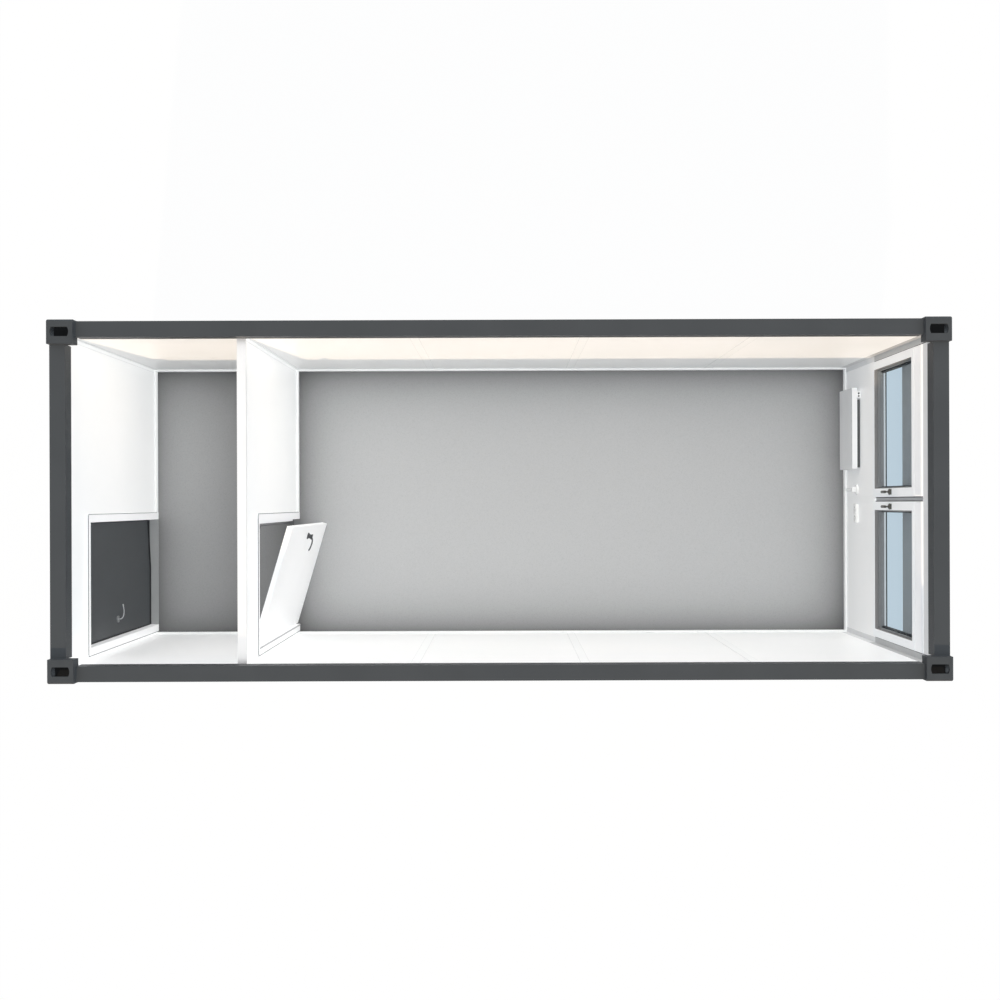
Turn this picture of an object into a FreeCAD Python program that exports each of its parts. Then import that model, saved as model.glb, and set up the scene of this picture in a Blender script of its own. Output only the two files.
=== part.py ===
import FreeCAD, Part
import Sketcher
import math
import os
import re

# A twenty foot office container with its roof taken off: two rooms, two doors and two windows.
# Millimetres. X runs along the container towards the windows, Y across it, Z up.
# The origin is on the ground under the middle of the outer box.

SIZES = {
    # outer box
    "length": 6058,
    "width": 2438,
    "height": 2800,
    # corner castings
    "casting_long": 178,
    "casting_wide": 162,
    "casting_tall": 118,
    "casting_wall": 28,
    "casting_round": 12,
    "top_slot_long": 124.5,
    "top_slot_wide": 63.5,
    "side_slot_long": 101.5,
    "end_slot_wide": 63.5,
    "face_slot_tall": 79.5,
    # steel frame
    "frame_inset": 6,
    "gauge": 4,
    "post_side_leg": 172,
    "post_end_leg": 110,
    "post_lip": 21,
    "top_rail_drop": 58,
    "top_rail_wide": 106,
    "top_rail_tall": 137,
    "ground_gap": 12,
    "floor_level": 150,
    # floor
    "covering_thick": 3,
    "board_thick": 22,
    "floor_gap": 1,
    "joist_flange": 45,
    "joist_gauge": 3,
    "joist_spacing": 450,
    "underside_thick": 1,
    "pocket_wide": 352,
    "pocket_tall": 85,
    "pocket_centres": 2055,
    # walls
    "wall_inset": 99,
    "wall_thick": 60,
    "rib_deep": 8,
    "rib_crest": 28,
    "rib_foot": 52,
    "rib_edge": 30,
    "rib_pitch": 114,
    "panel_joint": 6,
    "panel_count": 5,
    "wall_head_gap": 22,
    # inner trim
    "strip_wide": 60,
    "strip_thick": 2,
    "corner_trim_wide": 25,
    "skirting_tall": 60,
    "skirting_thick": 15,
    "trim_gap": 0.3,
    # partition
    "partition_thick": 60,
    "partition_head_gap": 5,
    # doorways, the same outer size in the end wall and in the partition
    "doorway_side": 23,
    "doorway_wide": 1007,
    "door_frame_face": 57,
    "door_frame_proud": 17,
    "door_top_gap": 635,
    "door_frame_step": 4,
    "leaf_thick": 38,
    "leaf_lap": 13,
    "door_gap": 5,
    "leaf_under_gap": 6,
    "threshold_tall": 4,
    "ajar_degrees": 16.5,
    # hinges
    "hinge_radius": 6,
    "pin_radius": 3,
    "pin_gap": 0.4,
    "knuckle_tall": 50,
    "knuckle_gap": 1,
    "hinge_plate": 3,
    "hinge_plate_wide": 34,
    "hinge_notch_gap": 2,
    "hinge_end": 220,
    # lever handles
    "lever_level": 1035,
    "outer_lever_back": 140,
    "inner_lever_back": 77,
    "spindle_radius": 4,
    "spindle_gap": 0.6,
    "rose_radius": 26,
    "rose_thick": 8,
    "cover_thick": 4,
    "lever_radius": 7,
    "lever_gap": 0.6,
    "lever_out": 48,
    "lever_tip_out": 38,
    "lever_long": 117,
    "lever_bend": 38,
    # windows
    "window_side": 48,
    "window_level": 971,
    "window_top_gap": 215,
    "window_gap": 35,
    "mullion_set_back": 14,
    "window_proud": 6,
    "window_rim": 10,
    "window_stop": 14,
    "sash_seat": 0.3,
    "sash_face": 55,
    "sash_deep": 56,
    "sash_proud": 14,
    "glass_thick": 24,
    "glass_set_back": 22,
    "shutter_box_tall": 164,
    "shutter_box_proud": 14,
    "shutter_box_round": 12,
    "curtain_thick": 9,
    "curtain_gap": 0.5,
    "curtain_tall": 595,
    "guide_wide": 40,
    "guide_deep": 20,
    "guide_groove": 16,
    "sill_thick": 2,
    "sill_deep": 30,
    "handle_wide": 30,
    "handle_tall": 66,
    "handle_base": 9,
    "handle_neck_radius": 8,
    "handle_neck": 26,
    "handle_long": 130,
    "handle_thick": 12,
    "handle_below": 51,
    # heater under the north window
    "heater_wide": 660,
    "heater_tall": 440,
    "heater_thick": 42,
    "heater_round": 6,
    "heater_stand": 26,
    "heater_level": 100,
    "heater_side": 210,
    "bracket_wide": 40,
    "bracket_side": 90,
    "bracket_level": 100,
    "knob_radius": 9,
    "knob_tall": 8,
    "knob_side": 57,
    # sockets on the window wall
    "socket_tall": 80,
    "single_socket_wide": 87,
    "single_socket_thick": 46,
    "single_socket_gap": 167,
    "double_socket_wide": 163,
    "double_socket_thick": 24,
    "double_socket_gap": 363,
    "socket_level": 380,
}


def start_document():
    document = FreeCAD.newDocument("office_container")
    sheet = document.addObject("Spreadsheet::Sheet", "Sizes")
    for row, (alias, value) in enumerate(SIZES.items(), start=1):
        sheet.set(f"A{row}", alias)
        sheet.set(f"B{row}", str(value))
        sheet.setAlias(f"B{row}", alias)
    document.recompute()
    return document, sheet


doc, sizes = start_document()
NAMES = re.compile(r"\b(" + "|".join(sorted(SIZES, key=len, reverse=True)) + r")\b")


def linked(expression):
    """An expression in plain size names, written with the sheet's name before each."""
    return NAMES.sub(r"Sizes.\1", str(expression))


def number(expression):
    """The value that an expression of the sheet has now."""
    return float(sizes.evalExpression(linked(expression)))


# Faces that many pieces share, as expressions of the sheet.
STEEL_X = "(length / 2 - frame_inset)"
STEEL_Y = "(width / 2 - frame_inset)"
CAST_X = "(length / 2 - casting_long)"
CAST_Y = "(width / 2 - casting_wide)"
POST_TOP = "(height - casting_tall)"
ROOM_X = "(length / 2 - wall_inset)"
ROOM_Y = "(width / 2 - wall_inset)"
SKIN_X = f"({ROOM_X} + wall_thick)"
WALL_TOP = f"({POST_TOP} - wall_head_gap)"
RAIL_TOP = "(height - top_rail_drop)"
RAIL_FOOT = f"({RAIL_TOP} - top_rail_tall)"
BOARD_TOP = "(floor_level - covering_thick)"
JOIST_TOP = f"({BOARD_TOP} - board_thick)"
JOIST_FOOT = "(ground_gap + gauge)"
MODULE = f"(2 * {ROOM_X} / panel_count)"
PARTITION_X = f"(-{ROOM_X} + {MODULE})"
DOOR_SOUTH = f"(doorway_side - {ROOM_Y})"
DOOR_NORTH = f"({DOOR_SOUTH} + doorway_wide)"
DOOR_CLEAR_TOP = "(height - door_top_gap)"
DOOR_TOP = f"({DOOR_CLEAR_TOP} + door_frame_face)"
WINDOW_IN = "(window_gap / 2)"
WINDOW_OUT = f"({ROOM_Y} - window_side)"
BOX_TOP = f"({WALL_TOP} - window_top_gap)"
WINDOW_TOP = f"({BOX_TOP} - shutter_box_tall)"
WINDOW_FOOT = "(floor_level + window_level)"


# How close an edge's middle lies to a face that it belongs to.
NEAR = 1

# Building blocks: each is bound to the sheet by its expressions.

def place(item, x="0", y="0", z="0"):
    item.setExpression(".Placement.Base.x", linked(x))
    item.setExpression(".Placement.Base.y", linked(y))
    item.setExpression(".Placement.Base.z", linked(z))
    return item


def box(name, x0, x1, y0, y1, z0, z1):
    """A slab between its two x, two y and two z faces."""
    item = doc.addObject("Part::Box", name)
    item.setExpression("Length", linked(f"({x1}) - ({x0})"))
    item.setExpression("Width", linked(f"({y1}) - ({y0})"))
    item.setExpression("Height", linked(f"({z1}) - ({z0})"))
    return place(item, x0, y0, z0)


def rod(name, radius, long, x="0", y="0", z="0", axis=(0, 0, 1)):
    """A cylinder that starts at a point and runs along an axis."""
    item = doc.addObject("Part::Cylinder", name)
    item.setExpression("Radius", linked(radius))
    item.setExpression("Height", linked(long))
    item.Placement.Rotation = FreeCAD.Rotation(FreeCAD.Vector(0, 0, 1), FreeCAD.Vector(*axis))
    return place(item, x, y, z)


def cut(name, base, tools):
    """The base with the tools taken out of it."""
    item = doc.addObject("Part::Cut", name)
    item.Base = base
    item.Tool = tools[0] if len(tools) == 1 else fuse(name + "_tools", tools)
    return item


def fuse(name, shapes):
    item = doc.addObject("Part::MultiFuse", name)
    item.Shapes = shapes
    item.Refine = True
    return item


def group(name, shapes):
    """Separate solids that share one node."""
    item = doc.addObject("Part::Compound", name)
    item.Links = shapes
    return item


def mirror(name, source, normal, base_z="0"):
    item = doc.addObject("Part::Mirroring", name)
    item.Source = source
    item.Normal = FreeCAD.Vector(*normal)
    item.setExpression("Base.z", linked(base_z))
    return item


def sketch(body, plane, points, name):
    """A closed outline on an origin plane, each corner held by its two distances."""
    outline = body.newObject("Sketcher::SketchObject", name)
    origin = {feature.Role: feature for feature in body.Origin.OriginFeatures}
    outline.AttachmentSupport = [(origin[plane], "")]
    outline.MapMode = "FlatFace"
    corners = [FreeCAD.Vector(number(x), number(y), 0) for x, y in points]
    count = len(points)
    for index in range(count):
        outline.addGeometry(Part.LineSegment(corners[index], corners[(index + 1) % count]), False)
    for index in range(count):
        outline.addConstraint(Sketcher.Constraint("Coincident", index, 2, (index + 1) % count, 1))
    for index, (x, y) in enumerate(points):
        for kind, expression in (("DistanceX", x), ("DistanceY", y)):
            value = number(expression)
            where = outline.addConstraint(Sketcher.Constraint(kind, -1, 1, index, 1, value))
            outline.setExpression(f"Constraints[{where}]", linked(expression))
    return outline


def pad(body, outline, long, name, reverse=False):
    feature = body.newObject("PartDesign::Pad", name)
    feature.Profile = outline
    feature.setExpression("Length", linked(long))
    feature.Reversed = reverse
    return feature


def profile(name, plane, points, long, x="0", y="0", z="0", reverse=False):
    """A straight bar of constant section, padded from one of its body's own planes."""
    body = doc.addObject("PartDesign::Body", name)
    pad(body, sketch(body, plane, points, name + "_section"), long, name + "_bar", reverse)
    return place(body, x, y, z)


# Corner castings

def make_castings():
    x0, y0, z0 = CAST_X, CAST_Y, POST_TOP
    x1, y1, z1 = "length / 2", "width / 2", "height"
    block = box("casting_block", x0, x1, y0, y1, z0, z1)
    doc.recompute()
    rounded = doc.addObject("Part::Fillet", "casting_rounded")
    rounded.Base = block
    radius = number("casting_round")
    outer = [index for index, edge in enumerate(block.Shape.Edges, start=1)
             if edge.CenterOfMass.x > number(x1) - 1 and edge.CenterOfMass.y > number(y1) - 1]
    upper = [index for index, edge in enumerate(block.Shape.Edges, start=1)
             if edge.CenterOfMass.z > number(z1) - 1
             and (edge.CenterOfMass.x > number(x1) - 1 or edge.CenterOfMass.y > number(y1) - 1)]
    rounded.Edges = [(index, radius, radius) for index in sorted(set(outer + upper))]
    cavity = box("casting_cavity", f"{x0} + casting_wall", f"{x1} - casting_wall", f"{y0} + casting_wall",
                 f"{y1} - casting_wall", f"{z0} + casting_wall", f"{z1} - casting_wall")
    mid_x = "(length / 2 - casting_long / 2)"
    mid_y = "(width / 2 - casting_wide / 2)"
    mid_z = "(height - casting_tall / 2)"
    round_slot = rod("top_slot_round", "top_slot_long / 2", "casting_wall * 2", mid_x, mid_y,
                     f"{z1} - casting_wall * 1.5")
    band = box("top_slot_band", f"{mid_x} - top_slot_long", f"{mid_x} + top_slot_long",
               f"{mid_y} - top_slot_wide / 2", f"{mid_y} + top_slot_wide / 2", f"{z1} - casting_wall * 2",
               f"{z1} + casting_wall")
    top_slot = doc.addObject("Part::MultiCommon", "top_slot")
    top_slot.Shapes = [round_slot, band]
    side_slot = slot_y("side_slot", mid_x, mid_z, "side_slot_long", "face_slot_tall",
                       f"{y1} - casting_wall * 1.5")
    end_slot = slot_x("end_slot", mid_y, mid_z, "end_slot_wide", "face_slot_tall",
                      f"{x1} - casting_wall * 1.5")
    east_north = cut("casting_east_north", rounded, [cavity, top_slot, side_slot, end_slot])
    east_south = mirror("casting_east_south", east_north, (0, 1, 0))
    west_north = mirror("casting_west_north", east_north, (1, 0, 0))
    west_south = mirror("casting_west_south", east_south, (1, 0, 0))
    top = group("top_corner_castings", [east_north, east_south, west_north, west_south])
    bottom = mirror("bottom_corner_castings", top, (0, 0, 1), "height / 2")
    return [top, bottom]


def slot_y(name, x, z, long, tall, y):
    """An upright oval hole through a face that looks along Y."""
    ball = rod(name + "_round", f"{long} / 2", "casting_wall * 2", x, y, z, (0, 1, 0))
    band = box(name + "_band", f"{x} - {long}", f"{x} + {long}", f"{y} - 1", f"{y} + casting_wall * 3",
               f"{z} - {tall} / 2", f"{z} + {tall} / 2")
    slot = doc.addObject("Part::MultiCommon", name)
    slot.Shapes = [ball, band]
    return slot


def slot_x(name, y, z, wide, tall, x):
    """An upright oval hole through a face that looks along X."""
    ball = rod(name + "_round", f"{tall} / 2", "casting_wall * 2", x, y, z, (1, 0, 0))
    band = box(name + "_band", f"{x} - 1", f"{x} + casting_wall * 3", f"{y} - {wide} / 2",
               f"{y} + {wide} / 2", f"{z} - {tall}", f"{z} + {tall}")
    slot = doc.addObject("Part::MultiCommon", name)
    slot.Shapes = [ball, band]
    return slot


# Steel frame

def make_posts():
    """Folded corner posts: two legs under the casting's outer edges, with a lip on each."""
    x, y = STEEL_X, STEEL_Y
    side_end = f"({x} - post_side_leg)"
    end_end = f"({y} - post_end_leg)"
    points = [(side_end, y), (x, y), (x, end_end), (f"{x} - post_lip", end_end),
              (f"{x} - post_lip", f"{end_end} + gauge"), (f"{x} - gauge", f"{end_end} + gauge"),
              (f"{x} - gauge", f"{y} - gauge"), (f"{side_end} + gauge", f"{y} - gauge"),
              (f"{side_end} + gauge", f"{y} - post_lip"), (side_end, f"{y} - post_lip")]
    first = profile("post_east_north", "XY_Plane", points, f"{POST_TOP} - casting_tall", z="casting_tall")
    east_south = mirror("post_east_south", first, (0, 1, 0))
    west_north = mirror("post_west_north", first, (1, 0, 0))
    west_south = mirror("post_west_south", east_south, (1, 0, 0))
    return [group("corner_posts", [first, east_south, west_north, west_south])]


def channel_up(outer, inner, foot, top):
    """An upside down channel: its back on top and both edges hanging."""
    return [(outer, foot), (outer, top), (inner, top), (inner, foot), (f"{inner} + gauge", foot),
            (f"{inner} + gauge", f"{top} - gauge"), (f"{outer} - gauge", f"{top} - gauge"),
            (f"{outer} - gauge", foot)]


def channel_side(outer, inner, foot, top):
    """A channel on its side: its back outwards and two flanges looking in."""
    return [(outer, foot), (outer, top), (inner, top), (inner, f"{top} - gauge"),
            (f"{outer} - gauge", f"{top} - gauge"), (f"{outer} - gauge", f"{foot} + gauge"),
            (inner, f"{foot} + gauge"), (inner, foot)]


def make_rails():
    side_top = profile("top_rail_north", "YZ_Plane",
                       channel_up(STEEL_Y, f"({STEEL_Y} - top_rail_wide)", RAIL_FOOT, RAIL_TOP),
                       f"2 * {CAST_X}", x=f"-{CAST_X}")
    end_top = profile("top_rail_east", "XZ_Plane",
                      channel_up(STEEL_X, f"({STEEL_X} - top_rail_wide)", RAIL_FOOT, RAIL_TOP),
                      f"2 * {CAST_Y}", y=CAST_Y)
    top_rails = group("top_rails", [side_top, mirror("top_rail_south", side_top, (0, 1, 0)),
                                    end_top, mirror("top_rail_west", end_top, (1, 0, 0))])
    whole = profile("base_rail_channel", "YZ_Plane",
                    channel_side(STEEL_Y, ROOM_Y, "ground_gap", "floor_level"), f"2 * {CAST_X}",
                    x=f"-{CAST_X}")
    holes = []
    for side in (-1, 1):
        x = f"({side} * pocket_centres / 2)"
        holes.append(box(f"pocket_hole_{'west' if side < 0 else 'east'}",
                         f"{x} - pocket_wide / 2 - gauge", f"{x} + pocket_wide / 2 + gauge",
                         f"{STEEL_Y} - 2 * gauge", f"{STEEL_Y} + gauge",
                         f"{JOIST_TOP} - pocket_tall - 2 * gauge", JOIST_TOP))
    base_north = cut("base_rail_north", whole, holes)
    base_south = mirror("base_rail_south", base_north, (0, 1, 0))
    end_base = profile("base_rail_east", "XZ_Plane",
                       channel_side(STEEL_X, ROOM_X, "ground_gap", "floor_level"), f"2 * {CAST_Y}", y=CAST_Y)
    base_ends = group("base_end_rails", [end_base, mirror("base_rail_west", end_base, (1, 0, 0))])
    return [top_rails, base_north, base_south, base_ends]


# Floor

def make_floor():
    deep = f"({STEEL_Y} - gauge)"
    tunnels = []
    for side in (-1, 1):
        x = f"({side} * pocket_centres / 2)"
        word = "west" if side < 0 else "east"
        tube = box(f"tunnel_tube_{word}", f"{x} - pocket_wide / 2 - gauge",
                   f"{x} + pocket_wide / 2 + gauge", f"-{STEEL_Y}", STEEL_Y,
                   f"{JOIST_TOP} - pocket_tall - 2 * gauge", JOIST_TOP)
        room = box(f"tunnel_room_{word}", f"{x} - pocket_wide / 2", f"{x} + pocket_wide / 2",
                   f"-{STEEL_Y} - gauge", f"{STEEL_Y} + gauge",
                   f"{JOIST_TOP} - pocket_tall - gauge", f"{JOIST_TOP} - gauge")
        tunnels.append(cut(f"tunnel_{word}", tube, [room]))
    joists = []
    step = number("joist_spacing")
    reach = number(CAST_X) - number("joist_flange")
    pocket = number("pocket_wide / 2 + gauge + joist_flange")
    pairs = int((reach - step / 2) / step) + 1
    thick, flange = "joist_gauge", "joist_flange"
    tall = f"({JOIST_TOP} - {JOIST_FOOT})"
    for index in range(-pairs, pairs):
        place_x = (index + 0.5) * step
        if abs(abs(place_x) - number("pocket_centres / 2")) < pocket:
            continue
        points = [("0", "0"), (flange, "0"), (flange, thick), (thick, thick), (thick, f"{tall} - {thick}"),
                  (flange, f"{tall} - {thick}"), (flange, tall), ("0", tall)]
        joists.append(profile(f"joist_{index + pairs + 1}", "XZ_Plane", points, f"2 * {deep}",
                              x=f"{index + 0.5} * joist_spacing", y=deep, z=JOIST_FOOT))
    edge = f"({ROOM_Y} - floor_gap)"
    end = f"({ROOM_X} - floor_gap)"
    board = box("floor_board", f"-{end}", end, f"-{edge}", edge, JOIST_TOP, BOARD_TOP)
    covering = box("floor_covering", f"-{end}", end, f"-{edge}", edge, BOARD_TOP, "floor_level")
    underside = box("floor_underside", f"-{CAST_X}", CAST_X, f"-{edge}", edge,
                    f"{JOIST_FOOT} - underside_thick", JOIST_FOOT)
    return [group("forklift_pockets", tunnels), group("floor_joists", joists), board, covering, underside]


# Walls

def ribbed_panel(name, wide, tall, facing, x, y, z):
    """A sandwich panel: a flat slab with upright pressed ribs on its outer skin.

    Its own X runs along the wall, its own Y outwards, and facing turns it about Z.
    """
    body = doc.addObject("PartDesign::Body", name)
    slab = [("0", "0"), (wide, "0"), (wide, "wall_thick"), ("0", "wall_thick")]
    pad(body, sketch(body, "XY_Plane", slab, name + "_slab_outline"), tall, name + "_slab")
    room = number(wide) - 2 * number("rib_edge") - number("rib_foot")
    ribs = max(1, int(room / number("rib_pitch")) + 1)
    left = f"(({wide}) - rib_foot) / 2" if ribs == 1 else "rib_edge"
    slope = "(rib_foot - rib_crest) / 2"
    rib = [(left, "wall_thick"), (f"{left} + rib_foot", "wall_thick"),
           (f"{left} + rib_foot - {slope}", "wall_thick + rib_deep"),
           (f"{left} + {slope}", "wall_thick + rib_deep")]
    first = pad(body, sketch(body, "XY_Plane", rib, name + "_rib_outline"), tall, name + "_rib")
    if ribs > 1:
        doc.recompute()
        row = body.newObject("PartDesign::LinearPattern", name + "_ribs")
        row.Originals = [first]
        origin = {feature.Role: feature for feature in body.Origin.OriginFeatures}
        row.Direction = (origin["X_Axis"], [""])
        row.setExpression("Length", linked(f"({wide}) - 2 * rib_edge - rib_foot"))
        row.Occurrences = ribs
        body.Tip = row
    body.Placement.Rotation = FreeCAD.Rotation(FreeCAD.Vector(0, 0, 1), facing)
    return place(body, x, y, z)


def north_panels(name, x0, x1):
    """Panels of a long wall between two ends, as expressions, in the north wall."""
    tall = f"({WALL_TOP} - floor_level)"
    return ribbed_panel(name, f"({x1}) - ({x0})", tall, 0, x0, ROOM_Y, "floor_level")


def make_long_walls():
    panels = []
    count = int(number("panel_count"))
    for index in range(count):
        x0 = f"(-{ROOM_X} + {MODULE} * {index} + panel_joint / 2)"
        x1 = f"(-{ROOM_X} + {MODULE} * {index + 1} - panel_joint / 2)"
        if index == 0:
            x0 = f"(-{SKIN_X})"
        if index == count - 1:
            x1 = SKIN_X
        panels.append(north_panels(f"north_panel_{index + 1}", x0, x1))
    north = group("north_wall_panels", panels)
    south = mirror("south_wall_panels", north, (0, 1, 0))
    return [north, south]


def make_west_wall():
    tall = f"({WALL_TOP} - floor_level)"
    full = ribbed_panel("west_wall_panel", f"{ROOM_Y} - {DOOR_NORTH}", tall, 90, f"-{ROOM_X}", DOOR_NORTH,
                        "floor_level")
    over = ribbed_panel("west_wall_over_door", f"{DOOR_NORTH} + {ROOM_Y}", f"{WALL_TOP} - {DOOR_TOP}", 90,
                        f"-{ROOM_X}", f"-{ROOM_Y}", DOOR_TOP)
    return [full, over]


def make_east_wall():
    half = f"({ROOM_Y} - panel_joint / 2)"
    panels = []
    for word, y in (("south", "-panel_joint / 2"), ("north", ROOM_Y)):
        panels.append(ribbed_panel(f"east_lower_{word}", half, "window_level", -90, ROOM_X, y,
                                   "floor_level"))
        panels.append(ribbed_panel(f"east_upper_{word}", half, f"{WALL_TOP} - {BOX_TOP}", -90, ROOM_X, y,
                                   BOX_TOP))
    posts = [box("east_mullion", f"{ROOM_X} + mullion_set_back", SKIN_X, f"-{WINDOW_IN}", WINDOW_IN,
                 WINDOW_FOOT, BOX_TOP)]
    for word, y0, y1 in (("south", f"-{ROOM_Y}", f"-{WINDOW_OUT}"), ("north", WINDOW_OUT, ROOM_Y)):
        posts.append(box(f"east_jamb_{word}", ROOM_X, SKIN_X, y0, y1, WINDOW_FOOT, BOX_TOP))
    return [group("east_wall_panels", panels), group("east_wall_window_posts", posts)]


def make_partition():
    x0 = f"({PARTITION_X} - partition_thick / 2)"
    x1 = f"({PARTITION_X} + partition_thick / 2)"
    top = f"({RAIL_FOOT} - partition_head_gap)"
    panel = box("partition_panel", x0, x1, DOOR_NORTH, ROOM_Y, "floor_level", top)
    over = box("partition_over_door", x0, x1, f"-{ROOM_Y}", DOOR_NORTH, DOOR_TOP, top)
    fillers = [box("filler_west_wall", f"-{SKIN_X}", f"-{ROOM_X}", f"-{ROOM_Y}", DOOR_SOUTH, "floor_level",
                   DOOR_TOP),
               box("filler_partition", x0, x1, f"-{ROOM_Y}", DOOR_SOUTH, "floor_level", DOOR_TOP)]
    return [panel, over, group("doorway_fillers", fillers)]


# Inner trim

def make_trim():
    strips = []
    skirt_top = "(floor_level + skirting_tall)"
    count = int(number("panel_count"))
    for index in range(2, count):
        x = f"(-{ROOM_X} + {MODULE} * {index})"
        for word, y0, y1 in (("north", f"{ROOM_Y} - strip_thick", ROOM_Y),
                             ("south", f"-{ROOM_Y}", f"-{ROOM_Y} + strip_thick")):
            strips.append(box(f"strip_{word}_{index}", f"{x} - strip_wide / 2", f"{x} + strip_wide / 2",
                              y0, y1, skirt_top, WALL_TOP))
    strips.append(box("strip_east", f"{ROOM_X} - strip_thick", ROOM_X, "-strip_wide / 2", "strip_wide / 2",
                      skirt_top, WINDOW_FOOT))
    trims = []
    west = f"-{ROOM_X}"
    part_west = f"({PARTITION_X} - partition_thick / 2)"
    part_east = f"({PARTITION_X} + partition_thick / 2)"
    for word, x, turn, top in (("west_room_west", west, 1, WALL_TOP),
                               ("west_room_east", part_west, -1, None),
                               ("main_room_west", part_east, 1, None),
                               ("main_room_east", ROOM_X, -1, WALL_TOP)):
        top = top or f"({RAIL_FOOT} - partition_head_gap)"
        for side in (-1, 1):
            if side < 0 and word != "main_room_east":
                continue
            points = [("0", "0"), (f"{turn} * corner_trim_wide", "0"),
                      (f"{turn} * corner_trim_wide", f"{-side} * strip_thick"),
                      (f"{turn} * strip_thick", f"{-side} * strip_thick"),
                      (f"{turn} * strip_thick", f"{-side} * corner_trim_wide"),
                      ("0", f"{-side} * corner_trim_wide")]
            trims.append(profile(f"corner_{word}_{'south' if side < 0 else 'north'}", "XY_Plane", points,
                                 f"{top} - {skirt_top}", x=x, y=f"{side} * {ROOM_Y}", z=skirt_top))
    thick = "skirting_thick"
    boards = []
    floor, tall = "floor_level", skirt_top
    for room, x0, x1 in (("west", west, part_west), ("main", part_east, ROOM_X)):
        for word, y0, y1 in (("north", f"{ROOM_Y} - {thick}", ROOM_Y),
                             ("south", f"-{ROOM_Y}", f"-{ROOM_Y} + {thick}")):
            boards.append(box(f"skirting_{room}_{word}", x0, x1, y0, y1, floor, tall))
    short = (("west_wall", west, f"{west} + {thick}", DOOR_NORTH),
             ("west_part", f"{part_west} - {thick}", part_west, DOOR_NORTH),
             ("main_part", part_east, f"{part_east} + {thick}", DOOR_NORTH),
             ("east_wall", f"{ROOM_X} - {thick}", ROOM_X, f"(-{ROOM_Y} + {thick})"))
    for word, x0, x1, south in short:
        boards.append(box(f"skirting_{word}", x0, x1, f"{south} + trim_gap",
                          f"{ROOM_Y} - {thick} - trim_gap", floor, tall))
    return [group("wall_joint_strips", strips), group("corner_trims", trims),
            group("skirting_boards", boards)]


# Doors
# Each door is made about its hinge: the hinge line is the origin, the leaf runs along +Y from it
# and its thickness along -X. The inner door keeps this position, the outer door is turned half round.

RUN_GAP = "(hinge_radius + door_gap)"
OUTER_LEAF = "(doorway_wide - 2 * door_frame_face + 2 * leaf_lap)"
INNER_LEAF = f"(doorway_wide - 2 * door_frame_face - {RUN_GAP} - door_gap)"
OUTER_LEAF_TOP = f"({DOOR_CLEAR_TOP} + leaf_lap)"
INNER_LEAF_TOP = f"({DOOR_CLEAR_TOP} - door_gap)"
OUTER_LEAF_FOOT = "(floor_level + threshold_tall + leaf_under_gap)"
INNER_LEAF_FOOT = "(floor_level + leaf_under_gap)"
OUTER_HINGE_X = f"(-{STEEL_X})"
OUTER_HINGE_Y = f"({DOOR_NORTH} - door_frame_face + leaf_lap)"
INNER_HINGE_X = f"({PARTITION_X} + partition_thick / 2)"
INNER_HINGE_Y = f"({DOOR_SOUTH} + door_frame_face + {RUN_GAP})"
HINGES = (("low", "(floor_level + hinge_end)"), ("middle", f"(({DOOR_CLEAR_TOP} + floor_level) / 2)"),
          ("high", f"({DOOR_CLEAR_TOP} - hinge_end - 2 * knuckle_tall)"))


def stand(name, shape, x, y, turn):
    """The shape made about the hinge, turned and moved to its doorway."""
    item = group(name, [shape] if not isinstance(shape, list) else shape)
    item.Placement.Rotation = FreeCAD.Rotation(FreeCAD.Vector(0, 0, 1), turn)
    return place(item, x, y)


def door_frame(name, front, back, south, north, leaf_wide, leaf_top):
    """A frame with a stop behind the leaf and a rebate round it."""
    block = box(name + "_block", back, front, south, north, "floor_level", DOOR_TOP)
    clear = box(name + "_clear", f"{back} - 1", f"{front} + 1", "leaf_lap", f"{leaf_wide} - leaf_lap",
                "floor_level - 1", f"{leaf_top} - leaf_lap")
    rebate = box(name + "_rebate", "-leaf_thick - door_gap", f"{front} + 1", f"-{RUN_GAP}",
                 f"{leaf_wide} + door_gap", "floor_level - 1", f"{leaf_top} + door_gap")
    return cut(name + "_made", block, [clear, rebate])


def door_leaf(name, wide, foot, top, lever_y):
    """A flat leaf with a bore for the spindle and a round notch beside each hinge."""
    slab = box(name + "_slab", "-leaf_thick", "0", "0", wide, foot, top)
    tools = [rod(name + "_bore", "spindle_radius + spindle_gap", "leaf_thick + 2", "-leaf_thick - 1",
                 lever_y, "floor_level + lever_level", (1, 0, 0))]
    for word, level in HINGES:
        tools.append(rod(f"{name}_notch_{word}", "hinge_radius + hinge_notch_gap",
                         "2 * knuckle_tall + knuckle_gap + 2 * hinge_notch_gap",
                         z=f"{level} - hinge_notch_gap"))
    return cut(name + "_made", slab, tools)


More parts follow.
